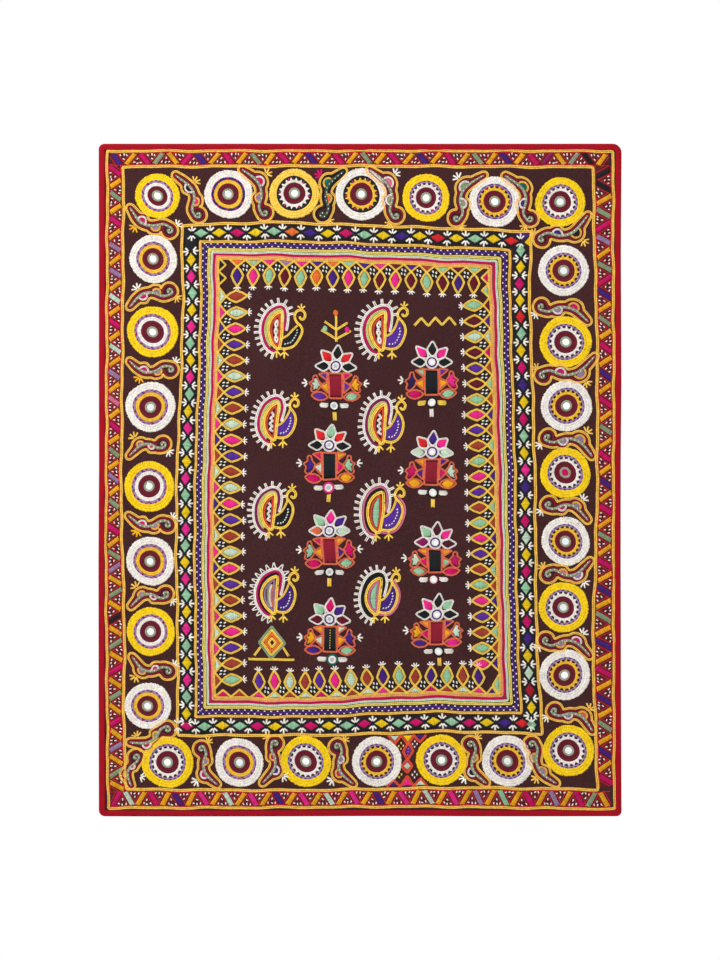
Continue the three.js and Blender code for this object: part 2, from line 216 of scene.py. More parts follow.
INNER_RAIL = {
    "top": [(-249, 199.3), (-20, 204), (227.9, 216)],
    "right": [(227.9, 216), (240, 590), (247.5, 965.1)],
    "bottom": [(247.5, 965.1), (140.4, 962.7), (70.4, 963.7), (-87.2, 974), (-256.4, 970.9)],
    "left": [(-256.4, 970.9), (-259.5, 700), (-258.5, 553.7), (-249.4, 290), (-249, 199.3)],
}
SIDES = ("top", "right", "bottom", "left")


def flat(points):
    """Across and down as across and up."""
    return np.array([(x, -down) for x, down in points], float)


def run_of(points):
    """How far along a line each of its points lies."""
    return np.concatenate([[0], np.cumsum(np.hypot(*np.diff(points, axis=0).T))])


def along(points, count=None, step=None, closed=False):
    """A line's points spaced evenly, by their number or their step."""
    line = np.asarray(points, float)
    if closed:
        line = np.vstack([line, line[:1]])
    run = run_of(line)
    if count is None:
        count = max(2, int(round(run[-1] / step)) + 1)
    stations = np.linspace(0, run[-1], count)
    return np.stack([np.interp(stations, run, line[:, axis]) for axis in (0, 1)], 1)


def smooth(points, closed=False, steps=8):
    """A soft curve through the points."""
    line = np.asarray(points, float)
    if closed:
        padded = np.vstack([line[-1:], line, line[:2]])
    else:
        padded = np.vstack([2 * line[:1] - line[1:2], line, 2 * line[-1:] - line[-2:-1]])
    share = np.arange(steps)[:, None] / steps
    pieces = []
    for a, b, c, d in zip(padded, padded[1:], padded[2:], padded[3:]):
        pieces.append(0.5 * (2 * b + (c - a) * share + (2 * a - 5 * b + 4 * c - d) * share**2
                             + (3 * b - a - 3 * c + d) * share**3))
    if not closed:
        pieces.append(line[-1:])
    return np.vstack(pieces)


def rays(turn):
    """Steps one long at the angles."""
    return np.stack([np.cos(turn), np.sin(turn)], -1)


def unit(run):
    """A step, or each of several, made one long."""
    return run / np.hypot(run[..., 0], run[..., 1])[..., None]


def left_of(ahead):
    """The step to the left of a step, or of each of several."""
    return np.stack([-ahead[..., 1], ahead[..., 0]], -1)


def beside(points):
    """Steps one long to the left of a line's run, at each of its points."""
    return left_of(unit(np.gradient(np.asarray(points, float), axis=0)))


def degrees_of(step):
    """A step's direction in degrees."""
    return math.degrees(math.atan2(step[1], step[0]))


def shrunk(shape, share):
    """A closed shape drawn in towards its middle."""
    middle = shape.mean(0)
    return (shape - middle) * share + middle


def frame_side(side, share, count):
    """Points on one side of a frame between the outer rail, 0, and the inner one, 1."""
    outer = along(flat(OUTER_RAIL[side]), count=count)
    inner = along(flat(INNER_RAIL[side]), count=count)
    return outer + (inner - outer) * share


def drape(x, z):
    """Distance of the cloth's middle from the hanging plane."""
    down = -z / HEIGHT
    fall = 0.25 + 0.75 * down
    broad = 2.2 * np.sin(x / 95 + 0.7 * down + 0.6)
    narrow = 0.5 * np.sin(x / 50 - 1.6 * down + 2.1)
    across = np.sin(-z / 100 + x / 260 + 0.4)
    return fall * (broad + narrow + across)


def lean(x, z):
    """Sideways place of a point once the sides' hand-cut lean is added."""
    down = np.clip(-z, 0, HEIGHT)
    across = (x + WIDTH / 2) / WIDTH
    left = np.interp(down, LEAN_DOWN, LEAN_LEFT)
    right = np.interp(down, LEAN_DOWN, LEAN_RIGHT)
    return x + left * (1 - across) - right * across


def soft_step(value, low, high):
    """Rises from 0 to 1 between low and high."""
    share = np.clip((value - low) / (high - low), 0, 1)
    return share * share * (3 - 2 * share)


def relief(x, z):
    """Padding under the thread work, over the plain cloth."""
    height = np.zeros_like(x)
    for across, down, radius, _, _ in ROUNDELS:
        apart = np.hypot(x - across, z + down)
        inner = soft_step(apart, radius * 0.36, radius * 0.46)
        outer = soft_step(apart, radius * 0.6, radius * 0.7)
        rim = 1 - soft_step(apart, radius * 0.9, radius)
        height = np.maximum(height, (0.25 * inner + 0.3 * outer) * rim)
    return height


def surface(x, z):
    """Distance of the cloth's front in front of the hanging plane."""
    return CLOTH_THICK / 2 + relief(x, z) - drape(x, z)


def by_hand(x, z):
    """Flat points moved a little, as a line drawn and stitched by hand wanders."""
    aside = 0.8 * np.sin(z / 21 + x / 70) + 0.5 * np.sin(z / 9.5 - x / 31 + 1.2)
    rise = 0.8 * np.sin(x / 19 - z / 80 + 0.7) + 0.5 * np.sin(x / 10.5 + z / 37 + 2.4)
    return x + aside, z + rise


def on_cloth(x, z):
    """World places in metres of flat points on the cloth's front."""
    x, z = by_hand(np.asarray(x, float), np.asarray(z, float))
    return np.stack([lean(x, z), -surface(x, z), z], -1) * MM


# Stitches

class Stitches:
    """Collects straight stitches, each with its ends, width, height and thread."""

    def __init__(self, seed):
        self.random = np.random.default_rng(seed)
        self.batches = []

    def add(self, start, end, width, thread, height=0.9, lift=0.0, shade=0.07):
        """Stitches from each start to its end, in a named thread or each in its own colour."""
        start = np.atleast_2d(np.asarray(start, float))
        end = np.atleast_2d(np.asarray(end, float))
        count = len(start)
        if not count:
            return
        colour = np.array([THREADS[thread]] * count) if isinstance(thread, str) else np.asarray(thread)
        colour = (colour * (1 + shade * self.random.standard_normal((count, 1)))).clip(0, 1)
        widths = width * self.random.uniform(0.94, 1.06, count)
        self.batches.append((start, end, widths, np.full(count, height), np.full(count, lift), colour))

    def chain(self, points, thread, width=5.2, pitch=3.0, closed=False, lift=0.0, height=1.1):
        """A row of chain stitch: every link is two strands that close towards the next."""
        line = along(points, step=pitch, closed=closed)
        step = np.diff(line, axis=0)
        length = np.hypot(step[:, 0], step[:, 1])[:, None]
        ahead = step / np.maximum(length, 1e-6)
        side = left_of(ahead)
        for sign in (1, -1):
            start = line[:-1] + side * sign * width * 0.32 - ahead * 0.35 * length
            end = line[1:] + side * sign * width * 0.14 + ahead * 0.35 * length
            self.add(start, end, width * 0.5, thread, height, lift)

    def line(self, points, thread, width=1.7, pitch=3.2, closed=False, lift=0.0, height=0.8):
        """A row of back stitch."""
        row = along(points, step=pitch, closed=closed)
        reach = (row[1:] - row[:-1]) * 0.12
        self.add(row[:-1] - reach, row[1:] + reach, width, thread, height, lift)

    def satin(self, outline, thread, angle=90.0, pitch=1.25, lift=0.1, height=0.9, spread=1.35):
        """Side-by-side stitches that fill an outline, lying at the angle."""
        shortest = 0.5
        ahead = rays(math.radians(angle))
        side = left_of(ahead)
        shape = np.asarray(outline, float)
        u, v = shape @ ahead, shape @ side
        next_u, next_v = np.roll(u, -1), np.roll(v, -1)
        starts, ends = [], []
        rows = max(1, int(round((v.max() - v.min()) / pitch)))
        for level in v.min() + (np.arange(rows) + 0.5) * (v.max() - v.min()) / rows:
            crossed = (v <= level) != (next_v <= level)
            share = (level - v[crossed]) / (next_v[crossed] - v[crossed])
            hits = np.sort(u[crossed] + (next_u[crossed] - u[crossed]) * share)
            for low, high in zip(hits[::2], hits[1::2]):
                if high - low > shortest:
                    starts.append(ahead * low + side * level)
                    ends.append(ahead * high + side * level)
        starts, ends = np.array(starts).reshape(-1, 2), np.array(ends).reshape(-1, 2)
        self.add(starts, ends, pitch * spread, thread, height, lift)

    def dots(self, points, thread="white", length=3.4, width=2.4, angle=90.0, lift=0.3):
        """Single plump stitches."""
        places = np.atleast_2d(points)
        reach = rays(np.radians(np.broadcast_to(angle, (len(places),)))) * length / 2
        self.add(places - reach, places + reach, width, thread, 1.1, lift)

    def sprig(self, base, angle, thread="white", length=8.0, fan=(-38, 0, 38), width=2.3, lift=0.2):
        """Detached stitches that spread from one point."""
        start = np.array([base] * len(fan), float)
        reach = rays(np.radians(np.array(fan, float) + angle))
        longest = np.where(np.array(fan) == 0, 1.0, 0.88)[:, None] * length
        self.add(start + reach * 0.8, start + reach * longest, width, thread, 1.1, lift)

    def ring(self, centre, radius, thread, width, pitch=3.0, lift=0.0):
        """A closed row of chain stitch round a point."""
        count = max(10, int(2 * math.pi * radius / 2.5))
        turn = np.linspace(0, 2 * math.pi, count, endpoint=False)
        self.chain(rays(turn) * radius + centre, thread, width, pitch, closed=True, lift=lift)

    def spokes(self, centre, inside, outside, threads, pitch=1.3, lift=0.0, height=0.9, ragged=0.0):
        """Stitches that lie like spokes between two circles, three at a time in each thread."""
        count = max(12, int(math.pi * (inside + outside) / pitch))
        reach = rays(np.linspace(0, 2 * math.pi, count, endpoint=False))
        names = threads.split()
        dyed = np.array([THREADS[names[step // 3 % len(names)]] for step in range(count)])
        ends = outside + self.random.uniform(-ragged, ragged, (count, 1))
        self.add(reach * inside + centre, reach * ends + centre, pitch * 1.6, dyed, height, lift)


# Materials

def new_node(tree, kind, **settings):
    """Adds a node to a tree and sets its settings."""
    node = tree.nodes.new(kind)
    for key, value in settings.items():
        setattr(node, key, value)
    return node


class Socket:
    """A value socket of a node tree that Python's operators turn into Math nodes."""

    def __init__(self, tree, socket):
        self.tree = tree
        self.socket = socket

    def _math(self, operation, other=0.0):
        node = new_node(self.tree, "ShaderNodeMath", operation=operation)
        self.tree.links.new(self.socket, node.inputs[0])
        if isinstance(other, Socket):
            self.tree.links.new(other.socket, node.inputs[1])
        else:
            node.inputs[1].default_value = other
        return Socket(self.tree, node.outputs[0])

    def __add__(self, other):
        return self._math("ADD", other)

    def __mul__(self, other):
        return self._math("MULTIPLY", other)

    def wave(self):
        """The sine of the value."""
        return self._math("SINE")


class Finish:
    """Builds one procedural material."""

    def __init__(self, name, colour, roughness, **shader):
        self.material = bpy.data.materials.new(name)
        self.material.use_nodes = True
        self.tree = self.material.node_tree
        self.shader = self.tree.nodes["Principled BSDF"]
        self.shader.inputs["Base Color"].default_value = (*colour, 1)
        self.shader.inputs["Roughness"].default_value = roughness
        for socket, value in shader.items():
            self.shader.inputs[socket.replace("_", " ")].default_value = value
        self.material.diffuse_color = (*colour, 1)

    def node(self, kind, settings=None, **sockets):
        """Adds a node, sets its settings and sockets, and links those given as sockets."""
        made = new_node(self.tree, kind, **(settings or {}))
        for key, value in sockets.items():
            self.feed(made.inputs[key.replace("_", " ")], value)
        return made

    def feed(self, target, value):
        """Links a socket to an input, or sets the input to a plain value."""
        if isinstance(value, Socket):
            self.tree.links.new(value.socket, target)
        else:
            target.default_value = value

    def out(self, node, index=0):
        """A node's output as a socket for sums."""
        return Socket(self.tree, node.outputs[index])

    def place(self):
        """The place in the object's own space."""
        return self.out(self.node("ShaderNodeTexCoord"), 3)

    def noise(self, scale, detail=3.0):
        """Cloudy noise from 0 to 1, so many clouds to the metre."""
        return self.out(self.node("ShaderNodeTexNoise", Vector=self.place(), Scale=scale, Detail=detail))

    def tint(self, base, share, amount, dark, light):
        """Shades a colour between a darker and a lighter self by a share from 0 to 1."""
        shade = self.node("ShaderNodeMapRange", Value=share, To_Min=dark, To_Max=light)
        scaled = self.node("ShaderNodeVectorMath", {"operation": "SCALE"}, Scale=self.out(shade))
        mixed = self.node("ShaderNodeMix", {"data_type": "RGBA"})
        self.feed(scaled.inputs[0], base)
        self.feed(mixed.inputs[0], amount)
        self.feed(mixed.inputs[6], base if isinstance(base, Socket) else (*base, 1))
        self.feed(mixed.inputs[7], self.out(scaled))
        return self.out(mixed, 2)

    def paint(self, colour):
        """Sets the base colour."""
        self.feed(self.shader.inputs["Base Color"], colour)

    def roughen(self, roughness):
        """Sets the roughness."""
        self.feed(self.shader.inputs["Roughness"], roughness)

    def emboss(self, height, strength, distance):
        """Raises fine relief from a height."""
        bump = self.node("ShaderNodeBump", Height=height, Strength=strength, Distance=distance)
        self.feed(self.shader.inputs["Normal"], self.out(bump))


def thread_finish():
    """Cotton thread: the stitch's own colour, slightly uneven, darkened towards each stitch's base as painted
    shade and lightened along its ridge as a painted highlight, with fine fibres.
    """
    finish = Finish("embroidery thread", (0.5, 0.4, 0.3), 0.62, Specular_IOR_Level=0.2)
    colour = finish.out(finish.node("ShaderNodeAttribute", {"attribute_name": "thread"}))
    painted_light_share = finish.out(finish.node("ShaderNodeAttribute", {"attribute_name": "painted_light_share"}), 2)
    # Painted shade and highlight: the colour falls to half at each stitch's base and rises to 1.32 times
    # along its ridge.
    deep = finish.tint(colour, painted_light_share, 1.0, 0.5, 1.32)
    finish.paint(finish.tint(deep, finish.noise(160, 4), 0.8, 0.75, 1.22))
    finish.roughen(finish.noise(420, 2) * 0.3 + 0.46)
    finish.emboss(finish.noise(2600, 2), 0.35, 0.0004)
    return finish.material


def ground_finish():
    """Dark brown plain-weave cotton, faded in soft patches."""
    brown = linear(64, 35, 36)
    finish = Finish("dark brown cotton", brown, 0.85, Specular_IOR_Level=0.08)
    spread = finish.node("ShaderNodeSeparateXYZ", Vector=finish.place())
    across, up = finish.out(spread, 0), finish.out(spread, 2)
    weave_pitch = 1.6 * MM
    thread_turn = 2 * math.pi / weave_pitch
    weave = (across * thread_turn).wave() * (up * thread_turn).wave()
    faded = finish.tint(brown, finish.noise(9, 4), 1.0, 0.75, 1.25)
    finish.paint(finish.tint(faded, finish.noise(420, 2), 1.0, 0.35, 1.65))
    finish.roughen(finish.noise(300, 2) * 0.2 + 0.74)
    finish.emboss(weave + finish.noise(900, 2) * 0.8, 0.4, 0.0003)
    return finish.material


def binding_finish():
    """Crimson cotton, lighter and darker in soft patches."""
    crimson = linear(158, 4, 26)
    finish = Finish("crimson cotton", crimson, 0.75, Specular_IOR_Level=0.12)
    finish.paint(finish.tint(crimson, finish.noise(38, 5), 1.0, 0.75, 1.2))
    finish.roughen(finish.noise(300, 2) * 0.2 + 0.6)
    finish.emboss(finish.noise(700, 3), 0.4, 0.0004)
    return finish.material


def mirror_finish(name, colour):
    """Hand-silvered thin glass, cloudy, and each disc a little different."""
    finish = Finish(name, colour, 0.08, Metallic=0.6, Coat_Weight=0.6)
    cloudy = finish.tint(colour, finish.noise(420, 3), 0.6, 0.85, 1.15)
    finish.paint(finish.tint(cloudy, finish.noise(8, 1), 1.0, 0.6, 1.5))
    finish.roughen(finish.noise(260, 3) * 0.16 + 0.03)
    return finish.material


def floor_finish():
    """Matt pale floor."""
    pale = (0.82, 0.82, 0.81)
    finish = Finish("pale floor", pale, 0.9)
    finish.paint(finish.tint(pale, finish.noise(3, 2), 1.0, 0.99, 1.01))
    return finish.material


# Meshes

def new_mesh(name, points, faces, smooth_faces=True):
    """A mesh of points and faces, shaded smooth or flat."""
    mesh = bpy.data.meshes.new(name)
    mesh.from_pydata([tuple(point) for point in points], [], [tuple(face) for face in faces])
    mesh.update()
    mesh.polygons.foreach_set("use_smooth", np.full(len(mesh.polygons), smooth_faces))
    return mesh


def new_object(name, data):
    """An object at the origin in the scene."""
    made = bpy.data.objects.new(name, data)
    bpy.context.scene.collection.objects.link(made)
    return made


def finished_piece(name, points, faces, material):
    """A piece in its material."""
    mesh = new_mesh(name, points, faces)
    mesh.materials.append(material)
    return new_object(name, mesh)


def front_map(mesh):
    """A map laid on the panel seen from the front."""
    places = np.empty(len(mesh.vertices) * 3)
    mesh.vertices.foreach_get("co", places)
    places = places.reshape(-1, 3)
    corners = np.empty(len(mesh.loops), int)
    mesh.loops.foreach_get("vertex_index", corners)
    spots = np.stack([places[:, 0] / (WIDTH * MM) + 0.5, places[:, 2] / (HEIGHT * MM) + 1.0], 1)
    layer = mesh.uv_layers.new(name="OFBake")
    layer.data.foreach_set("uv", (spots * 0.98 + 0.01)[corners].ravel())


def unit_stitch():
    """One plump stitch along X, a unit long, wide and high."""
    base = [(-0.5, -0.5, -0.35), (-0.5, 0.5, -0.35), (0.5, 0.5, -0.35), (0.5, -0.5, -0.35)]
    ridge = [(-0.33, 0, 1), (0.33, 0, 1)]
    faces = [(0, 1, 2, 3), (0, 3, 5, 4), (2, 1, 4, 5), (1, 0, 4), (3, 2, 5)]
    mesh = new_mesh("stitch shape", base + ridge, faces)
    # Share from the stitch's base, 0, to its ridge, 1, which the thread material turns into painted shade and
    # a painted highlight.
    mesh.attributes.new("painted_light_share", "FLOAT", "POINT").data.foreach_set("value", (0, 0, 0, 0, 1, 1))
    return bpy.data.objects.new("stitch shape", mesh)


def stitch_tree():
    """Geometry Nodes that set a stitch on every point, along its thread and out from the cloth."""
    tree = bpy.data.node_groups.new("Hand stitches", "GeometryNodeTree")
    face = tree.interface
    face.new_socket("Geometry", in_out="INPUT", socket_type="NodeSocketGeometry")
    face.new_socket("Stitch", in_out="INPUT", socket_type="NodeSocketObject")
    face.new_socket("Thread", in_out="INPUT", socket_type="NodeSocketMaterial")
    uneven = face.new_socket("Unevenness", in_out="INPUT", socket_type="NodeSocketFloat")
    uneven.default_value = 0.06
    seed = face.new_socket("Seed", in_out="INPUT", socket_type="NodeSocketInt")
    seed.default_value = 7
    face.new_socket("Geometry", in_out="OUTPUT", socket_type="NodeSocketGeometry")
    links = tree.links
    start, end = new_node(tree, "NodeGroupInput"), new_node(tree, "NodeGroupOutput")

    def attribute(name):
        node = new_node(tree, "GeometryNodeInputNamedAttribute", data_type="FLOAT_VECTOR")
        node.inputs["Name"].default_value = name
        return node.outputs["Attribute"]

    turn = new_node(tree, "FunctionNodeAxesToRotation", primary_axis="X", secondary_axis="Z")
    links.new(attribute("ahead"), turn.inputs["Primary Axis"])
    links.new(attribute("outward"), turn.inputs["Secondary Axis"])
    shape = new_node(tree, "GeometryNodeObjectInfo")
    links.new(start.outputs["Stitch"], shape.inputs["Object"])
    vary = new_node(tree, "FunctionNodeRandomValue", data_type="FLOAT")
    links.new(start.outputs["Seed"], vary.inputs["Seed"])
    for operation, limit in (("SUBTRACT", vary.inputs[2]), ("ADD", vary.inputs[3])):
        reach = new_node(tree, "ShaderNodeMath", operation=operation)
        reach.inputs[0].default_value = 1.0
        links.new(start.outputs["Unevenness"], reach.inputs[1])
        links.new(reach.outputs[0], limit)
    grown = new_node(tree, "ShaderNodeVectorMath", operation="SCALE")
    links.new(attribute("size"), grown.inputs[0])
    links.new(vary.outputs[1], grown.inputs["Scale"])
    setter = new_node(tree, "GeometryNodeInstanceOnPoints")
    links.new(start.outputs["Geometry"], setter.inputs["Points"])
    links.new(shape.outputs["Geometry"], setter.inputs["Instance"])
    links.new(turn.outputs[0], setter.inputs["Rotation"])
    links.new(grown.outputs[0], setter.inputs["Scale"])
    real = new_node(tree, "GeometryNodeRealizeInstances")
    dye = new_node(tree, "GeometryNodeSetMaterial")
    links.new(setter.outputs[0], real.inputs[0])
    links.new(real.outputs[0], dye.inputs["Geometry"])
    links.new(start.outputs["Thread"], dye.inputs["Material"])
    links.new(dye.outputs[0], end.inputs[0])
    return tree


def shared(store, name, make):
    """Finds a tree, object or material by name, or makes it the first time."""
    return store.get(name) or make()


def stitch_object(name, stitches):
    """Turns collected stitches into one plain mesh of thread."""
    start, end, width, height, lift, colour = (np.concatenate(part) for part in zip(*stitches.batches))
    middle = on_cloth(*((start + end) / 2).T)
    middle[:, 1] -= lift * MM
    ahead = on_cloth(*end.T) - on_cloth(*start.T)
    length = np.linalg.norm(ahead, axis=1)
    ahead = ahead / np.maximum(length, 1e-9)[:, None]
    outward = np.cross(ahead, np.cross([0.0, -1.0, 0.0], ahead))
    mesh = new_mesh(name, middle, [])
    size = np.stack([length, width * MM, height * MM], 1)
    for label, values in (("ahead", ahead), ("outward", outward), ("size", size)):
        mesh.attributes.new(label, "FLOAT_VECTOR", "POINT").data.foreach_set("vector", values.ravel())
    dyed = np.concatenate([colour, np.ones((len(colour), 1))], 1)
    mesh.attributes.new("thread", "FLOAT_COLOR", "POINT").data.foreach_set("color", dyed.ravel())
    points = new_object(name, mesh)
    tree = shared(bpy.data.node_groups, "Hand stitches", stitch_tree)
    modifier = points.modifiers.new("Hand stitches", "NODES")
    modifier.node_group = tree
    values = {
        "Stitch": shared(bpy.data.objects, "stitch shape", unit_stitch),
        "Thread": shared(bpy.data.materials, "embroidery thread", thread_finish),
        "Unevenness": bpy.context.scene.hanging_thread.unevenness,
        "Seed": bpy.context.scene.hanging_thread.seed,
    }
    for item in tree.interface.items_tree:
        if item.in_out == "INPUT" and item.name in values:
            modifier[item.identifier] = values[item.name]
    points.update_tag()
    evaluated = points.evaluated_get(bpy.context.evaluated_depsgraph_get())
    plain = bpy.data.meshes.new_from_object(evaluated)
    points.modifiers.clear()
    points.data = plain
    plain.name = name
    front_map(plain)
    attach(points, "root")


# Pieces

def cloth_piece():
    """The cloth, one thin closed sheet with the relief of its padding."""
    cells = bpy.context.scene.hanging_size.cloth_cell / MM
    half = WIDTH / 2 - CLOTH_SETBACK
    columns = int(round(2 * half / cells))
    rows = int(round((HEIGHT - 2 * CLOTH_SETBACK) / cells))
    x, z = np.meshgrid(
        np.linspace(-half, half, columns + 1), np.linspace(-CLOTH_SETBACK, -HEIGHT + CLOTH_SETBACK, rows + 1))
    corner_pull = 1 - 1 / math.sqrt(2)
    for row, column, key, sx, sz in (
            (0, 0, "top_left", 1, -1), (0, -1, "top_right", -1, -1),
            (-1, -1, "bottom_right", -1, 1), (-1, 0, "bottom_left", 1, 1)):
        pull = (CORNERS[key] - CLOTH_SETBACK) * corner_pull
        x[row, column] += sx * pull
        z[row, column] += sz * pull
    fine = 0.25 * np.sin(x / 17 + z / 60) * np.sin(z / 23 - x / 90)
    ahead = surface(x, z) + fine
    behind = -drape(x, z) + fine - CLOTH_THICK / 2
    layers = [np.stack([lean(x, z), -depth, z], -1) for depth in (ahead, behind)]
    points = np.vstack([layer.reshape(-1, 3) * MM for layer in layers])
    count = x.size
    index = np.arange(count).reshape(x.shape)
    a, b, c, d = index[:-1, :-1], index[:-1, 1:], index[1:, 1:], index[1:, :-1]
    front = np.stack([a, d, c, b], -1).reshape(-1, 4)
    back = np.stack([a, b, c, d], -1).reshape(-1, 4) + count
    rim = np.concatenate([index[0, :-1], index[:-1, -1], index[-1, :0:-1], index[:0:-1, 0]])
    after = np.roll(rim, -1)
    wall = np.stack([rim, after, after + count, rim + count], -1)
    faces = np.vstack([front, back, wall])
    made = finished_piece("embroidered_cloth", points, faces, ground_finish())
    front_map(made.data)
    return made


# The binding's section: distance in from the edge, and in front of the hanging plane
BINDING_PROFILE = [
    (10.5, 1.9), (9.6, 2.2), (7.6, 2.45), (5.4, 2.4), (3.4, 2.5), (1.8, 2.1), (0.7, 1.5), (0, 0.8), (0, -0.8),
    (0.7, -1.5), (1.8, -2.1), (5.4, -2.4), (9.6, -2.2), (10.5, -1.9), (10.5, -1.1), (2.3, -1.1), (2.3, 1.1),
    (10.5, 1.1),
]


def rounded_outline(inset, step):
    """The outer edge at a distance inside it, with the same number of points for every inset."""
    left, right, top, bottom = -WIDTH / 2 + inset, WIDTH / 2 - inset, -inset, -HEIGHT + inset
    arcs = []
    for x, z, inward, corner, start in (
            (left, top, (1, -1), "top_left", math.pi), (right, top, (-1, -1), "top_right", math.pi / 2),
            (right, bottom, (-1, 1), "bottom_right", 0), (left, bottom, (1, 1), "bottom_left", -math.pi / 2)):
        radius = max(CORNERS[corner] - inset, 0.9)
        middle = np.array([x, z]) + np.array(inward) * radius
        arcs.append(middle + radius * rays(start - np.linspace(0, math.pi / 2, 10)))
    loop = []
    for arc, after, run in zip(arcs, arcs[1:] + arcs[:1], (WIDTH, HEIGHT, WIDTH, HEIGHT)):
        loop += [arc, np.linspace(arc[-1], after[0], int(run / step) + 2)[1:-1]]
    return np.vstack(loop)


def binding_piece():
    """The folded strip round the edge, with the slight puckers of hand sewing."""
    step = bpy.context.scene.hanging_size.binding_step / MM
    loops = []
    count = len(rounded_outline(0, step))
    place = np.arange(count)
    rng = np.random.default_rng(11)
    wobble = np.convolve(np.tile(rng.standard_normal(count), 3), np.ones(5) / 5, "same")[count:2 * count]
    for inset, off in BINDING_PROFILE:
        x, z = rounded_outline(inset, step).T
        rippled = off + np.sign(off) * 0.22 * wobble * soft_step(inset, 1, 8) * (abs(off) > 1.5)
        rippled = rippled + 0.12 * np.sin(place * 0.9 + inset) * (abs(off) > 1.5)
        loops.append(np.stack([lean(x, z), drape(x, z) - rippled, z], 1) * MM)
    faces = []
    ahead = np.roll(place, -1)
    for row in range(len(loops)):
        near, far = row * count, (row + 1) % len(loops) * count
        faces.append(np.stack([near + place, near + ahead, far + ahead, far + place], 1))
    made = finished_piece("binding", np.vstack(loops), np.vstack(faces), binding_finish())
    front_map(made.data)
    return made


# A mirror's section from its front's middle round to its back: share of the radius and of the thickness
DISC_STEPS = [(0.0, 0.0), (0.45, 0.04), (0.75, 0.12), (0.94, 0.26), (1.0, 0.6), (1.0, 1.0), (0.0, 1.0)]
DISC_SIDES = 28
DISC_THICK = 1.1


def mirror_disc(node):
    """A slightly domed glass disc in place of the plain one."""
    low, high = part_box(node)
    centre = (np.array(low) + np.array(high)) / 2
    radius = (high[2] - low[2]) / 2
    x, z = centre[0] / MM, centre[2] / MM
    reach = 4
    slope_x = float(drape(x + reach, z) - drape(x - reach, z)) / (2 * reach)
    slope_z = float(drape(x, z + reach) - drape(x, z - reach)) / (2 * reach)
    circle = rays(np.linspace(0, 2 * math.pi, DISC_SIDES, endpoint=False)) * radius
    points, faces, rings = [], [], []
    for share, depth in DISC_STEPS:
        spots = circle * share if share else np.zeros((1, 2))
        rings.append(list(range(len(points), len(points) + len(spots))))
        for dx, dz in spots:
            y = centre[1] + (depth - 0.5) * DISC_THICK * MM + slope_x * dx + slope_z * dz
            points.append((centre[0] + dx, y, centre[2] + dz))
    for inner, outer in zip(rings, rings[1:]):
        for side in range(DISC_SIDES):
            after = (side + 1) % DISC_SIDES
            if len(inner) == 1:
                faces.append((inner[0], outer[side], outer[after]))
            elif len(outer) == 1:
                faces.append((inner[after], inner[side], outer[0]))
            else:
                faces.append((inner[side], outer[side], outer[after], inner[after]))
    return points, faces


def mirrors_piece(name, nodes, finish, colour):
    """Several mirrors as one piece that takes the place of their nodes."""
    points, faces = [], []
    for node in nodes:
        some_points, some_faces = mirror_disc(node)
        faces += [tuple(index + len(points) for index in face) for face in some_faces]
        points += some_points
    made = finished_piece(name, points, faces, mirror_finish(finish, colour))
    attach(made, "root")
    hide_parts(*nodes)
    return made


# Rows of the inner frame: share of the way from its outer rail to its inner one, thread and width
FRAME_ROWS = [
    (0.0, "gold", 5.7), (0.517, "gold", 5.0), (0.757, "brass", 5.6), (0.838, "pale", 4.2),
    (0.9, "raspberry", 4.6), (0.965, "peach", 3.8), (1.022, "gold", 4.4),
]


def frame_lines():
    """The closed rows of chain stitch round the middle field and the outer band."""
    work = Stitches(21)
    work.chain(flat(EDGE_RAIL), "gold", 5.5, closed=True, lift=0.2)
    work.chain(flat(BAND_RAIL), "gold", 5.7, closed=True, lift=0.2)
    for share, thread, width in FRAME_ROWS:
        row = np.vstack([frame_side(side, share, 60)[:-1] for side in SIDES])
        work.chain(row, thread, width, 3.4, closed=True, lift=0.2)
    return work


def violet_ribbon():
    """A violet zigzag with white stitches in its notches."""
    bend_step = 5.5
    work = Stitches(22)
    for side in SIDES:
        run = frame_side(side, 0.635, 60)
        count = int(run_of(run)[-1] / bend_step)
        row = along(run, count=count)
        ahead = unit(np.gradient(row, axis=0))
        out = left_of(ahead)
        sign = np.where(np.arange(count) % 2, 1, -1)[:, None]
        bend = row + out * sign * 1.6
        for shift in (-1.3, 0, 1.3):
            work.add(bend[:-1] + out[:-1] * shift, bend[1:] + out[1:] * shift, 1.9, "violet", 1.0, 0.1)
        places = row - out * sign * 2.9
        work.add(places - ahead * 1.6, places + ahead * 1.6, 3.0, "white", 1.1, 0.35)
    return work


# Bars of the outer band, clockwise: lean of the first, bare run at both ends, and threads in turn
BARS = {
    "top": (0, 5, 7, (
        "violet amber magenta sage amber magenta violet amber magenta amber sage amber magenta amber "
        "violet amber magenta amber sage amber magenta amber violet amber magenta amber sage amber "
        "violet amber magenta plum amber grey black amber")),
    "right": (0, 26, 40, (
        "black black amber sage magenta lavender amber sage magenta violet amber sage amber magenta "
        "amber violet amber magenta amber sage amber magenta amber violet amber magenta amber sage amber "
        "magenta amber violet amber sage amber violet amber magenta amber violet amber sage amber violet "
        "amber magenta")),
    "bottom": (0, 8, 3, (
        "amber sage magenta amber lavender amber magenta amber mint amber lavender amber pink amber pale "
        "amber pink amber violet amber pink amber pale amber pink amber violet amber pink amber pale "
        "amber pink amber violet amber magenta amber pale magenta")),
    "left": (1, 28, 22, (
        "amber sage amber lavender amber magenta amber sage amber magenta amber sage amber black amber "
        "sage amber lavender sage amber magenta amber sage amber lavender amber sage amber magenta amber "
        "rose amber lavender amber pale amber magenta amber pale amber lavender amber lavender amber "
        "magenta amber sage amber magenta")),
}

# First and last points of each side on the two rails that the bars lie between
EDGE_SIDES = {"top": (0, 2), "right": (2, 4), "bottom": (4, 7), "left": (7, 10)}
BAND_SIDES = {"top": (0, 2), "right": (2, 7), "bottom": (7, 10), "left": (10, 16)}

# Bars: distance from the rails, half width, share of a step that their ends lie in, and slant of their ends
BAR_INSET = 4.8
BAR_HALF = 5.2
BAR_SLANT = 0.21
BAR_POINT = 1.3


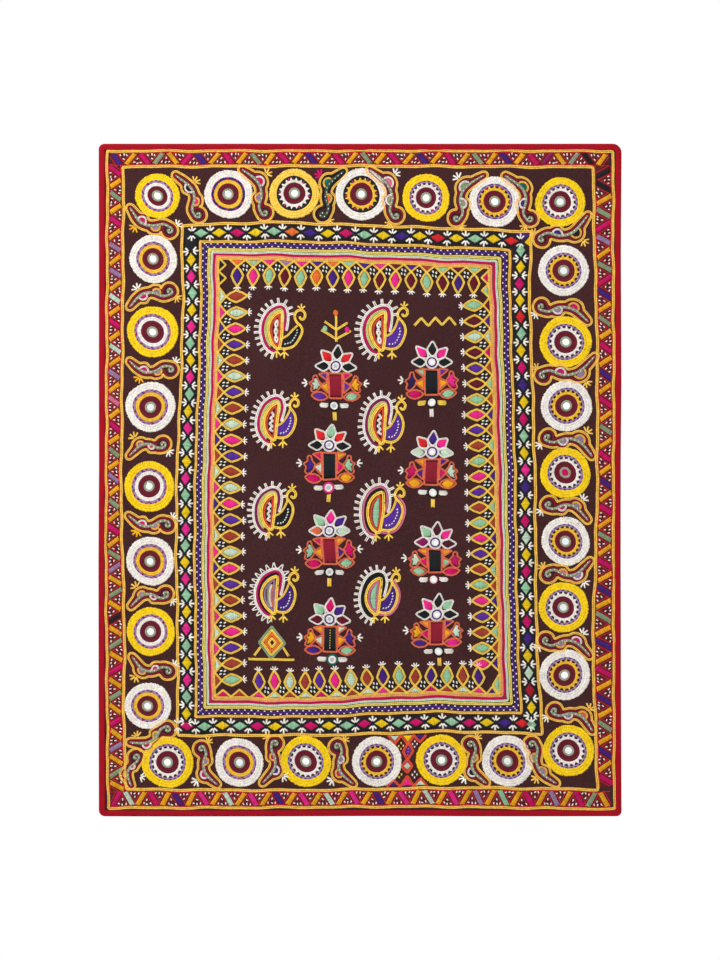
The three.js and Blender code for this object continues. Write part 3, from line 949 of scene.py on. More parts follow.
def slanted_bars():
    """The outer band: satin bars that lean to and fro, with red rows and white stitches between them."""
    work = Stitches(23)
    edge = flat(EDGE_RAIL + EDGE_RAIL[:1])
    band = flat(BAND_RAIL + BAND_RAIL[:1])
    for side in SIDES:
        lean_first, lead, tail, colours = BARS[side]
        threads = colours.split()
        first, last = EDGE_SIDES[side]
        outer = along(along(edge[first:last + 1], step=1.0)[lead:-tail], count=len(threads) + 1)
        first, last = BAND_SIDES[side]
        inner_line = band[first:last + 1]
        axis = 0 if side in ("top", "bottom") else 1
        order = np.argsort(inner_line[:, axis])
        inner = outer.copy()
        inner[:, 1 - axis] = np.interp(outer[:, axis], inner_line[order, axis], inner_line[order, 1 - axis])
        depth = np.hypot(*(inner - outer).T)[:, None]
        inward = (inner - outer) / depth
        low = outer + inward * BAR_INSET
        high = outer + inward * (depth - BAR_INSET)
        ground = np.vstack([low - inward, (high + inward)[::-1]])
        work.satin(ground, "umber", 90 if axis == 0 else 0, pitch=1.6, height=0.5, lift=0.0)
        for row in (low - inward, high + inward):
            work.line(row, "scarlet", 2.0, 3.0)
        for step, thread in enumerate(threads):
            base, tip = (high, low) if (step + lean_first) % 2 else (low, high)
            across = base[step + 1] - base[step]
            start = base[step] * (1 - BAR_SLANT) + base[step + 1] * BAR_SLANT
            end = tip[step] * BAR_SLANT + tip[step + 1] * (1 - BAR_SLANT)
            ahead = unit(end - start)
            out = left_of(ahead)
            bar = np.array([start + out * BAR_HALF, end + out * BAR_HALF, end - out * BAR_HALF,
                            start - out * BAR_HALF])
            point = unit(tip[step] - base[step]) * BAR_POINT * (1 if out @ across > 0 else -1)
            bar += np.array([point, point, -point, -point])
            work.satin(bar, thread, degrees_of(out), pitch=1.3, height=1.3)
            for sign in (1, -1):
                work.line(np.array([start, end]) + out * sign * (BAR_HALF + 1.6), "scarlet", 2.1, 3.0)
            if step + 1 < len(threads):
                rise = unit(tip[step + 1] - base[step + 1])
                seeds = np.array([(2.6, -6.0), (1.8, 0.0), (2.6, 6.0), (9.4, 0.4)])
                spots = base[step + 1] + seeds @ np.array([rise, unit(across)])
                spots += work.random.uniform(-0.9, 0.9, spots.shape)
                tilt = degrees_of(ahead) + work.random.uniform(-50, 50, len(spots))
                work.dots(spots, "white", 4.3, 2.9, tilt)
    return work


# Thin bands inside a roundel's thick one, from outside, for each inner form
ROUNDEL_BANDS = {
    "rings": ("plum lavender violet lavender", "lavender lavender lavender plum"),
    "violet_rings": ("violet ink violet red", "ink violet violet"),
    "dark_rays": ("black", "black"),
    "violet_rays": ("violet violet lavender", "lavender"),
    "rays": ("lavender violet", "lavender"),
    "satin_centre": ("lavender violet", "lavender"),
}
RAY_COUNT = 18


def roundel_thread(work, across, down, radius, outer, form):
    """One roundel, from its thick outer band in to the mirror's rim."""
    centre = np.array([across, -down])

    def band(outside, inside, rows, thread, ragged=0.4, pitch=1.5):
        step = (outside - inside) * radius / rows
        for row in range(rows):
            reach = outside * radius - step * row - 0.3
            work.spokes(centre, reach - step - 0.9, reach, thread, pitch, ragged=ragged)

    accent = "honey" if outer == "white" else "white"
    rim, inside = ROUNDEL_BANDS[form]
    band(1.0, 0.71, 3, outer, ragged=0.7)
    band(0.71, 0.665, 1, rim, ragged=0.2, pitch=1.4)
    band(0.665, 0.615 if "rings" in form else 0.63, 1, inside, ragged=0.2, pitch=1.6)
    if "rings" in form:
        band(0.6, 0.46, 2, accent)
    else:
        turn = np.linspace(0, 2 * math.pi, RAY_COUNT, endpoint=False) + across
        ray = rays(turn)
        side = left_of(ray)
        for shift in (-2.2, 0, 2.2):
            foot = centre + ray * radius * 0.5 + side * shift
            point = centre + ray * (radius * 0.635 - abs(shift) * 0.7) + side * shift * 0.1
            work.add(foot, point, 2.1, accent, 1.2, 0.3)
        between = centre + rays(turn + math.pi / RAY_COUNT) * radius * 0.6
        gaps = ["black" if step % 3 or down > 150 else "magenta" for step in range(RAY_COUNT)]
        dark = np.array([THREADS[thread] for thread in gaps])
        reach = (between - centre) * 0.09
        work.add(between - reach, between + reach, 4.2, dark, 0.7, 0.0)
        band(0.545, 0.45, 1, accent, ragged=0.2)
    band(0.45, 0.24, 2, "maroon")
    if form == "satin_centre":
        band(0.24, 0.15, 1, "grey")
        work.satin(centre + rays(np.linspace(0, 2 * math.pi, 18)) * 6.4, "magenta", 60, lift=0.3)
    else:
        work.spokes(centre, 6.0, 10.0, "grey", pitch=1.4, lift=1.35, height=0.8)


def roundels(outers):
    """The roundels with a white outer band, or all the others."""
    work = Stitches(24)
    for across, down, radius, outer, form in ROUNDELS:
        if (outer == "white") == (outers == "white"):
            roundel_thread(work, across, down, radius, outer, form)
    return work


# The curled leaf between roundels, on the line from its tip, 0, to its curl's middle, 1: along and aside
LEAF_STRAND = [(0, 0), (0.26, 0.13), (0.44, 0.17), (0.645, 0.113), (0.83, -0.05)]
STRAND_HALF = 3.0
CURL_RADIUS = 5.9
CURL_TURN = 5.6

# Distance of the dark row and of the gold one outside the strand and its moons
WINE_OFF = 1.9
GOLD_OFF = 6.3

CURL_SPRIG = (-58, -20, 20, 58)

# Leaves: tip, curl's middle, the side its curl turns to, side of its first moon, moons and sprigs
LEAVES = [
    ((-322, 56), (-284, 124), 1, -1, "white black gold pink", "", "gold"),
    ((-207, 46), (-166, 121), 1, 1, "white magenta gold lavender", "", "gold"),
    ((-29, 48), (-65, 122), -1, 1, "gold teal gold coral", "gold", "magenta"),
    ((18, 47), (63, 125), 1, 1, "white rose white grey", "gold", "white"),
    ((216, 56), (168, 130), -1, 1, "white sage white grey", "gold", "white"),
    ((254, 57), (299, 131), 1, 1, "gold teal white violet", "gold", ""),
    ((-404, 112), (-335, 151), -1, -1, "white magenta gold lavender", "white", "amber"),
    ((-403, 286), (-335, 258), 1, -1, "white magenta gold lavender", "gold", "white"),
    ((-404, 381), (-334, 396), -1, -1, "white magenta gold lavender", "white", "amber"),
    ((-404, 545), (-347, 527), 1, 1, "gold lavender white magenta", "white", "gold"),
    ((-406, 652), (-338, 667), -1, -1, "white magenta gold lavender", "white", "amber"),
    ((-400, 810), (-341, 788), 1, 1, "gold lavender white magenta", "white", "gold"),
    ((-400, 899), (-337, 925), -1, 1, "gold lavender white magenta", "white", "gold"),
    ((-403, 1047), (-337, 1026), -1, 1, "white magenta gold grey", "", ""),
    ((-401, 1124), (-393, 1074), 1, 1, "gold amber white magenta", "", ""),
    ((399, 125), (319, 168), 1, 1, "gold black white violet", "gold", "gold"),
    ((400, 312), (319, 286), -1, 1, "gold magenta white lavender", "white", ""),
    ((411, 374), (321, 406), 1, 1, "gold lavender white magenta", "gold", "gold"),
    ((408, 547), (330, 514), -1, 1, "gold lavender white lavender", "white", "gold"),
    ((400, 658), (332, 632), -1, 1, "gold lavender white magenta", "white", "white"),
    ((404, 731), (332, 755), 1, 1, "white lavender gold rose", "gold", "white"),
    ((402, 897), (326, 869), -1, 1, "white magenta gold lavender", "white", "white"),
    ((407, 1028), (341, 993), -1, 1, "gold coral white lavender", "white", "gold"),
    ((-250, 1122), (-278, 1059), 1, 1, "white magenta gold lavender", "gold", "white"),
    ((-171, 1118), (-148, 1050), -1, 1, "white violet gold magenta", "gold", "white"),
    ((-13, 1122), (-39, 1056), 1, 1, "gold magenta white lavender", "gold", "white"),
    ((220, 1120), (194, 1051), 1, 1, "white black gold grey", "gold", "white"),
    ((343, 1120), (302, 1051), 1, -1, "gold lavender gold grey", "", "gold"),
]


def leaf_edge(strand, curl, side, off, moons):
    """A closed line outside a leaf's strand, moons and curl, at a distance from them."""
    ahead = unit(np.gradient(strand, axis=0))
    out = left_of(ahead)
    run = run_of(strand)
    edges = {}
    for sign in (1, -1):
        depth = off + STRAND_HALF * soft_step(run, -12, 20)
        for place, moon_sign, moon in moons:
            if moon_sign == sign:
                swell = (moon + off) ** 2 - (run - place) ** 2
                depth = np.maximum(depth, np.sqrt(np.maximum(swell, 0)) + 0.5)
        edges[sign] = strand + out * sign * depth[:, None]
    begin = math.atan2(*(strand[-1] - curl)[::-1])
    reach = CURL_RADIUS + STRAND_HALF + off
    arc = curl + rays(begin + side * np.linspace(0.1, CURL_TURN, 40)) * reach
    gap = np.hypot(*(arc[:, None] - strand[None]).transpose(2, 0, 1)).min(1)
    arc = arc[gap > off + STRAND_HALF]
    inner = edges[side]
    inner = inner[np.hypot(*(inner - curl).T) > reach]
    tip_turn = np.linspace(0, math.pi, 7)[1:-1, None]
    tip_depth = np.hypot(*(edges[side][0] - strand[0]))
    tip = strand[0] + (out[0] * side * np.cos(tip_turn) - ahead[0] * np.sin(tip_turn)) * tip_depth
    return np.vstack([edges[-side], arc, inner[::-1], tip])


def leaf(work, tip, curl, side, moon_side, moons, curl_sprig, tip_sprig):
    """One curled leaf: beaded strand, half moons, maroon line, gold outline and sprigs."""
    start, centre = flat([tip, curl])
    size = np.hypot(*(centre - start))
    ahead = unit(centre - start)
    aside = left_of(ahead) * side
    bends = [start + (ahead * a + aside * b) * size for a, b in LEAF_STRAND]
    strand = smooth([*bends, centre - aside * CURL_RADIUS], steps=8)
    begin = math.atan2(*(strand[-1] - centre)[::-1])
    turn = np.linspace(0, CURL_TURN, 20)[1:, None]
    spiral = centre + rays(begin + side * turn[:, 0]) * CURL_RADIUS * (1 - 0.75 * turn / CURL_TURN)
    run = run_of(strand)
    heading = unit(np.gradient(strand, axis=0))
    out = left_of(heading)
    moon_size = 0.125 * size
    shown = [(run[-1] * 0.36, side * moon_side, moon_size),
             (run[-1] * 0.68, -side * moon_side, moon_size * 0.9)]
    threads = moons.split()
    for (place, sign, moon), outer, inner in zip(shown, threads[::2], threads[1::2]):
        at = int(np.argmin(np.abs(run - place)))
        sweep = np.linspace(0.05, math.pi - 0.05, 11)[:, None]
        bow = heading[at] * np.cos(sweep) + out[at] * sign * np.sin(sweep)
        root = strand[at] + out[at] * sign * 2.0
        work.satin(root + bow * (moon - 3.2), inner, 30, lift=0.3)
        work.chain(root + bow * (moon - 1.5), outer, 3.8, 2.4, lift=0.4)
    path = along(np.vstack([strand, spiral]), step=1.5)
    share = np.linspace(0, 1, len(path))
    width = STRAND_HALF * np.interp(share, (0, 0.25, 0.6, 1), (0.55, 1.0, 0.95, 0.75))[:, None]
    cross = beside(path)
    body = "moss" if "teal" in threads[:2] and side < 0 else "grey"
    work.add(path - cross * width, path + cross * width, 2.0, body, 1.0, 0.2)
    beads = path[3::5]
    beads = beads + cross[3::5] * work.random.uniform(-1.2, 1.2, (len(beads), 1))
    work.dots(beads, "white", 2.4, 2.4, lift=0.7)
    edge = "black" if body == "moss" else "wine"
    work.chain(leaf_edge(strand, centre, side, WINE_OFF, shown), edge, 3.0, 2.4, closed=True, lift=0.2)
    work.chain(leaf_edge(strand, centre, side, GOLD_OFF, shown), "gold", 4.7, 2.8, closed=True, lift=0.2)
    if curl_sprig:
        turned = math.atan2(ahead[1], ahead[0]) - side * 1.15
        root = centre + rays(turned) * (CURL_RADIUS + 10)
        work.sprig(root, math.degrees(turned), curl_sprig, 12.0, CURL_SPRIG, 3.4)
    if tip_sprig:
        at = int(len(strand) * 0.3)
        outward = out[at] * side
        root = strand[at] + outward * (STRAND_HALF + 8.5 + (moon_size - 2 if moon_side > 0 else 0))
        work.sprig(root, degrees_of(outward), tip_sprig, 13.0, (-62, -22, 22, 62), 3.8)


def curled_leaves():
    """All the curled leaves and the two loose sprigs beside the lowest of them."""
    work = Stitches(25)
    for spec in LEAVES:
        leaf(work, *spec)
    for place, way, thread in (((-391, -1038), 105, "gold"), ((-384, -1108), -20, "white")):
        work.sprig(place, way, thread, 12.0, CURL_SPRIG, 3.4)
    return work


# Diamonds of each side, clockwise: bare run at both ends, below zero to reach past the corner, and threads
DIAMONDS = {
    "top": (1, 1, (
        "mint yellow magenta yellow mint orange violet yellow magenta mint yellow violet yellow red "
        "yellow mint yellow red")),
    "right": (1, -15, (
        "mint yellow magenta yellow red mint yellow magenta violet yellow magenta mint yellow pink "
        "violet yellow magenta pale yellow magenta mint yellow magenta violet yellow pale crimson yellow "
        "mint")),
    "bottom": (1, -15, (
        "red violet yellow magenta mint yellow magenta mint yellow magenta mint yellow magenta mint "
        "yellow magenta mint yellow mint magenta")),
    "left": (7, 31, "yellow" + " mint pink yellow" * 9),
}


def diamond_band():
    """Satin diamonds in a black lattice, with white sprigs at every crossing."""
    work = Stitches(26)
    for side in SIDES:
        lead, tail, colours = DIAMONDS[side]
        threads = colours.split()
        upright = side in ("left", "right")
        ground = np.vstack([frame_side(side, 0.05, 60), frame_side(side, 0.46, 60)[::-1]])
        work.satin(ground, "black", 0 if upright else 90, pitch=1.7, height=0.4, lift=0.0)
        line = along(frame_side(side, 0.255, 200), step=1.0)
        if tail < 0:
            line = np.vstack([line, line[-1] + (line[-2] - line[-1]) * tail])
        row = along(line[lead:len(line) - max(tail, 0)], count=len(threads) + 1)
        middles = (row[1:] + row[:-1]) / 2
        deep = 10.6 if upright else 10.0
        for place, start, end, thread in zip(middles, row, row[1:], threads):
            out = left_of(unit(end - start))
            reach = (end - start) * 0.4
            half = out * (deep - 1.4)
            shape = np.array([place - reach, place + half, place + reach, place - half])
            work.satin(shape, thread, degrees_of(out), pitch=1.4, height=1.2)
            for sign in (1, -1):
                tops = place + out * sign * (deep + 0.6)
                work.chain(np.array([start, tops, end]), "black", 4.2, 2.6, lift=0.1)
        crossings = list(zip(row, beside(row)))
        for place, out in crossings[1:-1] if side == "right" else crossings:
            for away in (out, -out):
                work.sprig(place + away * 3.4, degrees_of(away), "white", 10.4, (-48, 0, 48), 3.9, 0.5)
    half_disc = rays(np.radians(np.linspace(180, 360, 9))) * 13
    work.satin(half_disc + (285, -154), "violet", 90, pitch=1.4)
    work.satin([(288, -173), (300, -160), (301, -182)], "yellow", 20, pitch=1.4)
    return work


# Fringe of each side, clockwise: bare run at both ends, threads of the lozenges, of the triangles at their
# feet, and of the triangles in the bare runs
FRINGE = {
    "top": (20, 11, (
        "violet pink mint maroon mint orange violet pink mint maroon pink maroon mint maroon violet "
        "maroon"), (
        "orange mint pink lavender pink violet orange mint violet pink maroon violet rust mint maroon "
        "mint"),
        "", ""),
    "right": (52, 41, (
        "mint maroon pale maroon purple maroon" + " mint pink purple rust" * 4 + " mint pink"), (
        "maroon violet pale magenta" + " rust mint rust violet" * 5),
        "magenta mint", "mint"),
    "bottom": (25, 64, (
        "violet rust mint violet rust mint violet rust pale pink purple rust pale pink purple"), (
        "pink pale rust magenta pale rust pink pale rust pale magenta pale rust pale pink"),
        "violet", "rust magenta"),
    "left": (16, 52, (
        "mint" + " rust purple pink pale" * 4 + " rust purple pale rust purple pink pale rust"), (
        "rust pale pink pale" + " pink pale rust violet" * 3
        + " pink pale rust pink pale rust violet pink pale"),
        "", "black black"),
}


# Depth at which a foot's two gold lines meet in the lozenge's first point
WAIST_DEPTH = 13.5


def fringe_foot(work, place, ahead, half, thread):
    """A coloured triangle on the frame's inner line, under two gold lines that meet over it."""
    inward = -left_of(ahead)
    waist = place + inward * WAIST_DEPTH
    foot, reach = place + inward * 2.4, ahead * (half - 3)
    triangle = np.array([foot - reach, foot + reach, waist - inward * 2])
    work.satin(triangle, thread, degrees_of(inward), pitch=1.4)
    for sign in (1, -1):
        start = place + ahead * sign * half + inward * 1.5
        work.chain(np.array([start, waist]), "straw", 3.6, 2.6, lift=0.15)


def lozenge_fringe():
    """Points inside the frame: a coloured triangle, a gold lattice, a filled lozenge and a white sprig."""
    work = Stitches(27)
    for side in SIDES:
        lead, tail, lozenges, feet, lead_feet, tail_feet = FRINGE[side]
        threads = lozenges.split()
        line = along(frame_side(side, 1.02, 200), step=1.0)
        row = along(line[lead:-tail], count=len(threads) + 1)
        middles = (row[1:] + row[:-1]) / 2
        for place, start, end, thread, foot in zip(middles, row, row[1:], threads, feet.split()):
            pitch = np.hypot(*(end - start))
            ahead = (end - start) / pitch
            inward = -left_of(ahead)
            long = work.random.uniform(-1.5, 1.5) + (3.0 if side == "left" else 0.0)
            fringe_foot(work, place, ahead, pitch * 0.5, foot)
            middle = place + inward * (30 + long / 2)
            half = ahead * pitch * 0.365
            corners = np.array([place + inward * WAIST_DEPTH, middle - half - inward,
                                place + inward * (47.5 + long), middle + half - inward])
            halfway = (corners + np.roll(corners, -1, axis=0)) / 2
            swollen = halfway + (halfway - middle) * 0.14
            outline = np.stack([corners, swollen], 1).reshape(-1, 2)
            fill = (outline - middle) * 0.8 + middle
            work.satin(fill, thread, degrees_of(ahead), pitch=1.4, height=1.2)
            work.chain(outline, "straw", 3.9, 2.7, closed=True, lift=0.25)
            work.sprig(corners[2] + inward * 0.4, degrees_of(inward), "white", 9.0, (-62, -21, 21, 62), 3.0)
        for place, out in zip(row[1:-1], beside(row)[1:-1]):
            inward, ahead = -out, -left_of(out)
            way = degrees_of(inward)
            middle = place + inward * 15.5
            dark = middle + np.array([inward * -9, ahead * 9, inward * 10, ahead * -9])
            work.satin(dark, "black", way, pitch=1.6, height=0.5)
            for deep, aside in ((-3.9, -2.5), (-2.7, 3.1), (2.9, -3.1), (4.1, 2.5)):
                work.dots(middle + inward * deep + ahead * aside, "white", 4.6, 3.6, way + 18)
        for bare, names in ((line[:lead], lead_feet.split()), (line[-tail:], tail_feet.split())):
            if names:
                corners = along(bare[6:], count=len(names) + 1)
                for start, end, thread in zip(corners, corners[1:], names):
                    pitch = np.hypot(*(end - start))
                    fringe_foot(work, (start + end) / 2, (end - start) / pitch, pitch / 2, thread)
    return work


# Bird in profile, facing right: places across and up from its middle
BIRD_TAIL = [
    (-11, -35.5), (-21, -31), (-29, -19), (-32.5, -3.5), (-31, 14), (-24, 29.5), (-13.5, 38.5), (-2.5, 42),
    (5, 38), (7.7, 26.5), (6.5, 14), (3.5, 2),
]
BIRD_LEAF = [
    (-5, -31.5), (-15.2, -22), (-21, -4), (-19.4, 14), (-10.6, 28), (0, 33.5), (1.5, 27), (0, -3),
    (-2.5, -25),
]
BIRD_CORE = [
    (-6.5, -25.5), (-13, -18), (-16.4, -4), (-15, 12), (-8, 23.5), (-3.4, 26.5), (-3.8, 0), (-4.6, -18),
]
BIRD_HEART = [(-7, 19), (-9.3, 10), (-10, 0), (-10, -10), (-8.5, -20)]

# Its two builds: line from the breast to the beak, wing's upper edge, crest and feet
BIRD_BUILDS = {
    "upright": (
        [(-2.8, -26.5), (7.7, -28.5), (18.2, -26.5), (27, -16), (32.2, 0), (30.5, 12.5), (25, 20.5), (21, 26),
         (21, 32), (24.5, 38), (30.5, 40.5), (35.7, 35.5), (35, 28.5), (30.5, 26.5), (27.8, 29.8)],
        [(22, 23), (19, 14), (14.7, 5.3), (7.7, -3.3), (-1.8, -8)], (29.8, 42), ((-10, -31), (10.5, -31))),
    "bent": (
        [(-4.2, -29.7), (8.3, -30.5), (20.8, -27), (28.8, -17.2), (35, -2), (33, 8), (26.5, 15), (23.8, 22),
         (24.5, 30.2), (28.8, 35.5), (35.7, 37), (40.8, 33.3), (42, 27), (38.5, 20.8), (33.7, 21),
         (32.4, 25)],
        [(27.9, 9.6), (19, 1.8), (10.5, -7), (3.8, -10.9), (-1.6, -14)], (35.6, 39), ((-7, -31), (6, -32))),
}

# Birds: middle, scale across and up, build, breast, the tail's rows from outside and its core
BIRDS = [
    ((-138, 327.5), (1.01, 1.0), "bent", "black", "magenta pistachio straw vermilion", "links"),
    ((44, 330.5), (1.12, 1.04), "upright", "purple", "magenta pistachio straw vermilion", "links"),
    ((-145, 487), (1.0, 1.0), "upright", "purple", "magenta pistachio straw vermilion", "zigzag"),
    ((43.5, 492.5), (1.01, 1.04), "upright", "purple", "plum pistachio straw vermilion", "zigzag"),
    ((-149, 646.5), (1.01, 0.97), "upright", "black", "plum pistachio straw vermilion", "zigzag"),
    ((40, 646.5), (1.07, 1.085), "upright", "purple", "rose black straw vermilion", "mint"),
    ((-145, 791.5), (1.03, 1.0), "upright", "violet", "magenta black straw lavender", "stripes"),
    ((35.5, 794), (0.95, 1.0), "upright", "violet", "black black straw rose", "mint"),
]


def bird_core(work, at, core, outline):
    """The middle of a bird's tail."""
    row = along(smooth(BIRD_HEART, steps=6), count=34)
    out = beside(row)
    if core == "mint":
        work.satin(at(shrunk(outline, (0.72, 0.88))), "mint", 0, lift=0.05)
    elif core == "stripes":
        for shift, thread in ((3.4, "coral"), (0.2, "white"), (-3.2, "grey")):
            work.chain(at(row + out * shift - (1.4, 0)), thread, 3.4, 2.4, lift=0.2)
    elif core == "zigzag":
        bends = row[2:-1:4] + out[2:-1:4] * np.where(np.arange(8) % 2, 2.6, -2.6)[:, None]
        work.chain(at(bends), "white", 4.2, 2.4, lift=0.3)
    else:
        swell = (1.6 + 2.6 * np.abs(np.sin(np.linspace(0, 3 * math.pi, len(row)))))[:, None]
        work.add(at(row - out * swell), at(row + out * swell), 2.0, "white", 1.0, 0.35)
        work.dots(at(row[[6, 17, 28]]), "black", 3.4, 2.6, 90, lift=0.9)


def bird(work, middle, scale, build, breast, rows, core):
    """One bird: a comb-edged tail, its core, a filled breast, a curled head and two feet."""
    origin = np.array([middle[0], -middle[1]], float)
    breast_line, wing, crest, feet = BIRD_BUILDS[build]
    rim, second, leaf_thread, core_thread = rows.split()

    def at(points):
        return np.asarray(points, float) * scale + origin

    tail = smooth(BIRD_TAIL, steps=6)
    out = beside(tail)
    work.chain(at(tail), rim, 3.6, 2.6, lift=0.1)
    rail = tail + out * 4.4
    work.chain(at(rail), "white", 5.2, 2.6, lift=0.1)
    teeth = along(rail, step=9.2)[:-3]
    away = beside(teeth)
    heading = -left_of(away)
    wide, narrow = (3.4, 0.3) if core == "stripes" else (1.4, 1.1)
    for sign in (1, -1):
        root = teeth + away * 0.5 + heading * wide * sign
        point = teeth + away * 11.4 + heading * narrow * sign
        work.add(at(root), at(point), 2.6, "white", 1.2, 0.1)
    thin = second == "black"
    work.chain(at((tail - out * (3.9 if thin else 4.7))[6:-6]), second, 3.4 if thin else 5.2, 2.8, lift=0.1)
    spread = np.array([1.2 if thin else 1.08, 1.0])
    leaf = smooth(BIRD_LEAF, closed=True, steps=6) * spread
    work.chain(at(leaf), leaf_thread, 6.2, 2.8, closed=True, lift=0.15)
    heart = smooth(BIRD_CORE, closed=True, steps=6) * spread
    work.chain(at(heart), core_thread, 3.6, 2.6, closed=True, lift=0.1)
    bird_core(work, at, core, heart)
    body = np.vstack([smooth(breast_line[:7], steps=6), smooth(wing, steps=6)])
    work.satin(at(shrunk(body, 0.9)), breast, 35, lift=0.0)
    inner = smooth(breast_line[1:6], steps=6)
    dotted = inner + beside(inner) * 8.5
    work.dots(at(along(dotted, count=9)[:-1]), "white", 3.4, 2.9, 50, lift=0.6)
    work.chain(at(smooth(breast_line, steps=6)), "straw", 5.2, 2.8, lift=0.25)
    if core == "mint":
        outer_row = smooth(breast_line[:8], steps=6)
        work.chain(at(outer_row - beside(outer_row) * 4.2), "rose", 3.6, 2.6, lift=0.1)
    work.chain(at(smooth(wing, steps=6)), "straw", 4.2, 2.8, lift=0.25)
    work.sprig(at(crest), 90, "straw", 10, (-52, 0, 52), 3.6)
    for across, up in feet:
        work.chain(at([(across, up + 2), (across, up - 5)]), "straw", 3.6, 2.6, lift=0.2)
        work.sprig(at((across, up - 4)), -90, "straw", 12, (-48, 0, 48), 4.0)


def birds():
    """The eight birds of the middle field."""
    work = Stitches(28)
    for spec in BIRDS:
        bird(work, *spec)
    return work


# Petals fanned over a mirror: tip across and up from it, and half the petal's width
PETALS = [((-37, 0), 9.4), ((-27, 28), 9.6), ((3.5, 38), 9.6), ((29, 24), 9.6), ((38, -2), 9.4)]


def petal(work, origin, tip, half, thread):
    """One petal: a satin lozenge inside a white outline."""
    end = np.array(tip, float)
    ahead = unit(end)
    belly, belly_side = end * 0.52, left_of(ahead) * half
    neck, neck_side = end * 0.78, belly_side * 0.62
    shape = [ahead * 9, belly + belly_side, neck + neck_side, end, neck - neck_side, belly - belly_side]
    outline = smooth(shape, closed=True, steps=5)
    work.chain(shrunk(outline, 0.9) + origin, "white", 3.4, 2.6, closed=True, lift=0.2)
    work.satin(shrunk(outline, 0.78) + ahead * 0.8 + origin, thread, degrees_of(ahead), pitch=1.3)


# A flower figure from its mirror: the panel, and on its right two triangles, a fish shape and a low leaf,
# which are flipped for its left; from its low mirror: the right one of two bars, and a drop
PANEL = [(-12, -12), (11.5, -12.5), (12, -55), (-11.5, -55)]
PANEL_FILL = [(-10.5, -13.5), (10, -14), (10.5, -53.5), (-10, -53.5)]
SIDE_TRIANGLES = [[(14, -11), (29, -14), (14, -25)], [(14, -26.5), (28, -34), (14, -47)]]
FISH = [
    (25, -32), (30, -25), (32.5, -17), (38, -18.5), (39, -26), (46, -30.5), (41.5, -35.5), (44, -43),
    (38, -46.5), (30.5, -41),
]
FISH_FILL = [
    (27.5, -32.5), (33.5, -20.5), (36.5, -21), (36.5, -28), (42, -30.5), (38.5, -35.5), (40.5, -42.5),
    (33.5, -42),
]
LOW_LEAF = [
    (14, -54), (19, -48.5), (27, -45.5), (36, -46.5), (44, -51.5), (38, -57.5), (30, -60.5), (21, -59),
]
BAR = [(9.5, 3.2), (23, 4), (26.5, 2), (26.5, -2.5), (23, -4.2), (9.5, -3.2)]
DROP = [(-3.4, -10.5), (3.4, -10.5), (3.0, -26), (-3.0, -26)]
LOW_MIRROR_DROP = 68.0


def flower(work, spec):
    """One flower figure: five petals, a tall panel and its side shapes, a low mirror, bars and a drop."""
    (across, down), (low_across, low_down), petals, panel, near, far, bars, drop, around = spec
    origin = np.array([across, -down])
    low = np.array([low_across, -low_down])
    tall = (low_down - down) / LOW_MIRROR_DROP
    for (tip, half), thread in zip(PETALS, petals.split()):
        petal(work, origin, tip, half, thread)
    work.ring(origin, 10.4, "white", 3.8, 2.4, lift=0.3)
    work.ring(origin, 7.6, "violet", 3.2, 2.0, lift=0.9)
    work.spokes(origin, 3.2, 6.9, "white", pitch=1.2, lift=1.35, height=0.7)

    def at(points, sign=1):
        return np.asarray(points, float) * (sign, tall) + origin

    work.satin(at(PANEL_FILL), panel, 90, pitch=1.4)
    work.chain(at(PANEL), "coral", 3.5, 2.6, closed=True, lift=0.2)
    if around == "teal":
        work.dots(at([(0, -19 - 4.2 * step) for step in range(8)]), "straw", 2.4, 2.0, lift=0.6)
    near_threads, far_threads = near.split(), far.split()
    for sign, first in ((-1, 0), (1, 2)):
        for shape, thread in zip(SIDE_TRIANGLES, near_threads[first:]):
            work.satin(shrunk(at(shape, sign), 0.8), thread, 90, pitch=1.3)
            work.chain(at(shape, sign), "coral", 3.3, 2.6, closed=True, lift=0.2)
        fish_thread, leaf_thread = far_threads[first:first + 2]
        work.chain(at(smooth(FISH, closed=True, steps=4), sign), "coral", 3.2, 2.6, closed=True, lift=0.2)
        work.satin(at(FISH_FILL, sign), fish_thread, 90, pitch=1.3, lift=0.05)
        work.chain(at(LOW_LEAF, sign), "coral", 3.4, 2.6, closed=True, lift=0.2)
        work.satin(shrunk(at(LOW_LEAF, sign), 0.8), leaf_thread, 0, pitch=1.3)
        if sign < 0 or across < 0:
            work.sprig(at((48.5, -30), sign), 90 - sign * 90, "white", 11.0, fan=(-46, 0, 46), width=3.8)
    work.ring(low, 8.4, around, 3.6, 2.4, lift=0.2)
    work.spokes(low, 3.6, 6.9, "white", pitch=1.2, lift=1.35, height=0.7)
    for sign in (-1, 1):
        work.satin(np.array(BAR) * (sign, 1) + low, bars, 0, pitch=1.5)
    if drop:
        work.satin(np.array(DROP) + low, drop, 90, pitch=1.6)


def flowers():
    """The eight flower figures of the middle field."""
    work = Stitches(29)
    for spec in FLOWERS:
        flower(work, spec)
    return work


# Small plain figures between the birds, from their middles: a branch, a zigzag and the foot of a lozenge
BRANCH_FIGURE = [[(0, -24), (0, 22)], [(-20, 10), (0, -4), (20, 10)], [(-26, -4), (0, -20), (26, -4)]]
ZIGZAG_FIGURE = [[(-36, -6), (-24, 8), (-12, -6), (0, 8), (12, -6), (24, 8), (36, -6)]]
FOOT_FIGURE = [[(-40, -29), (40, -29)], [(-30, -22), (-20, -8)], [(30, -22), (20, -8)]]


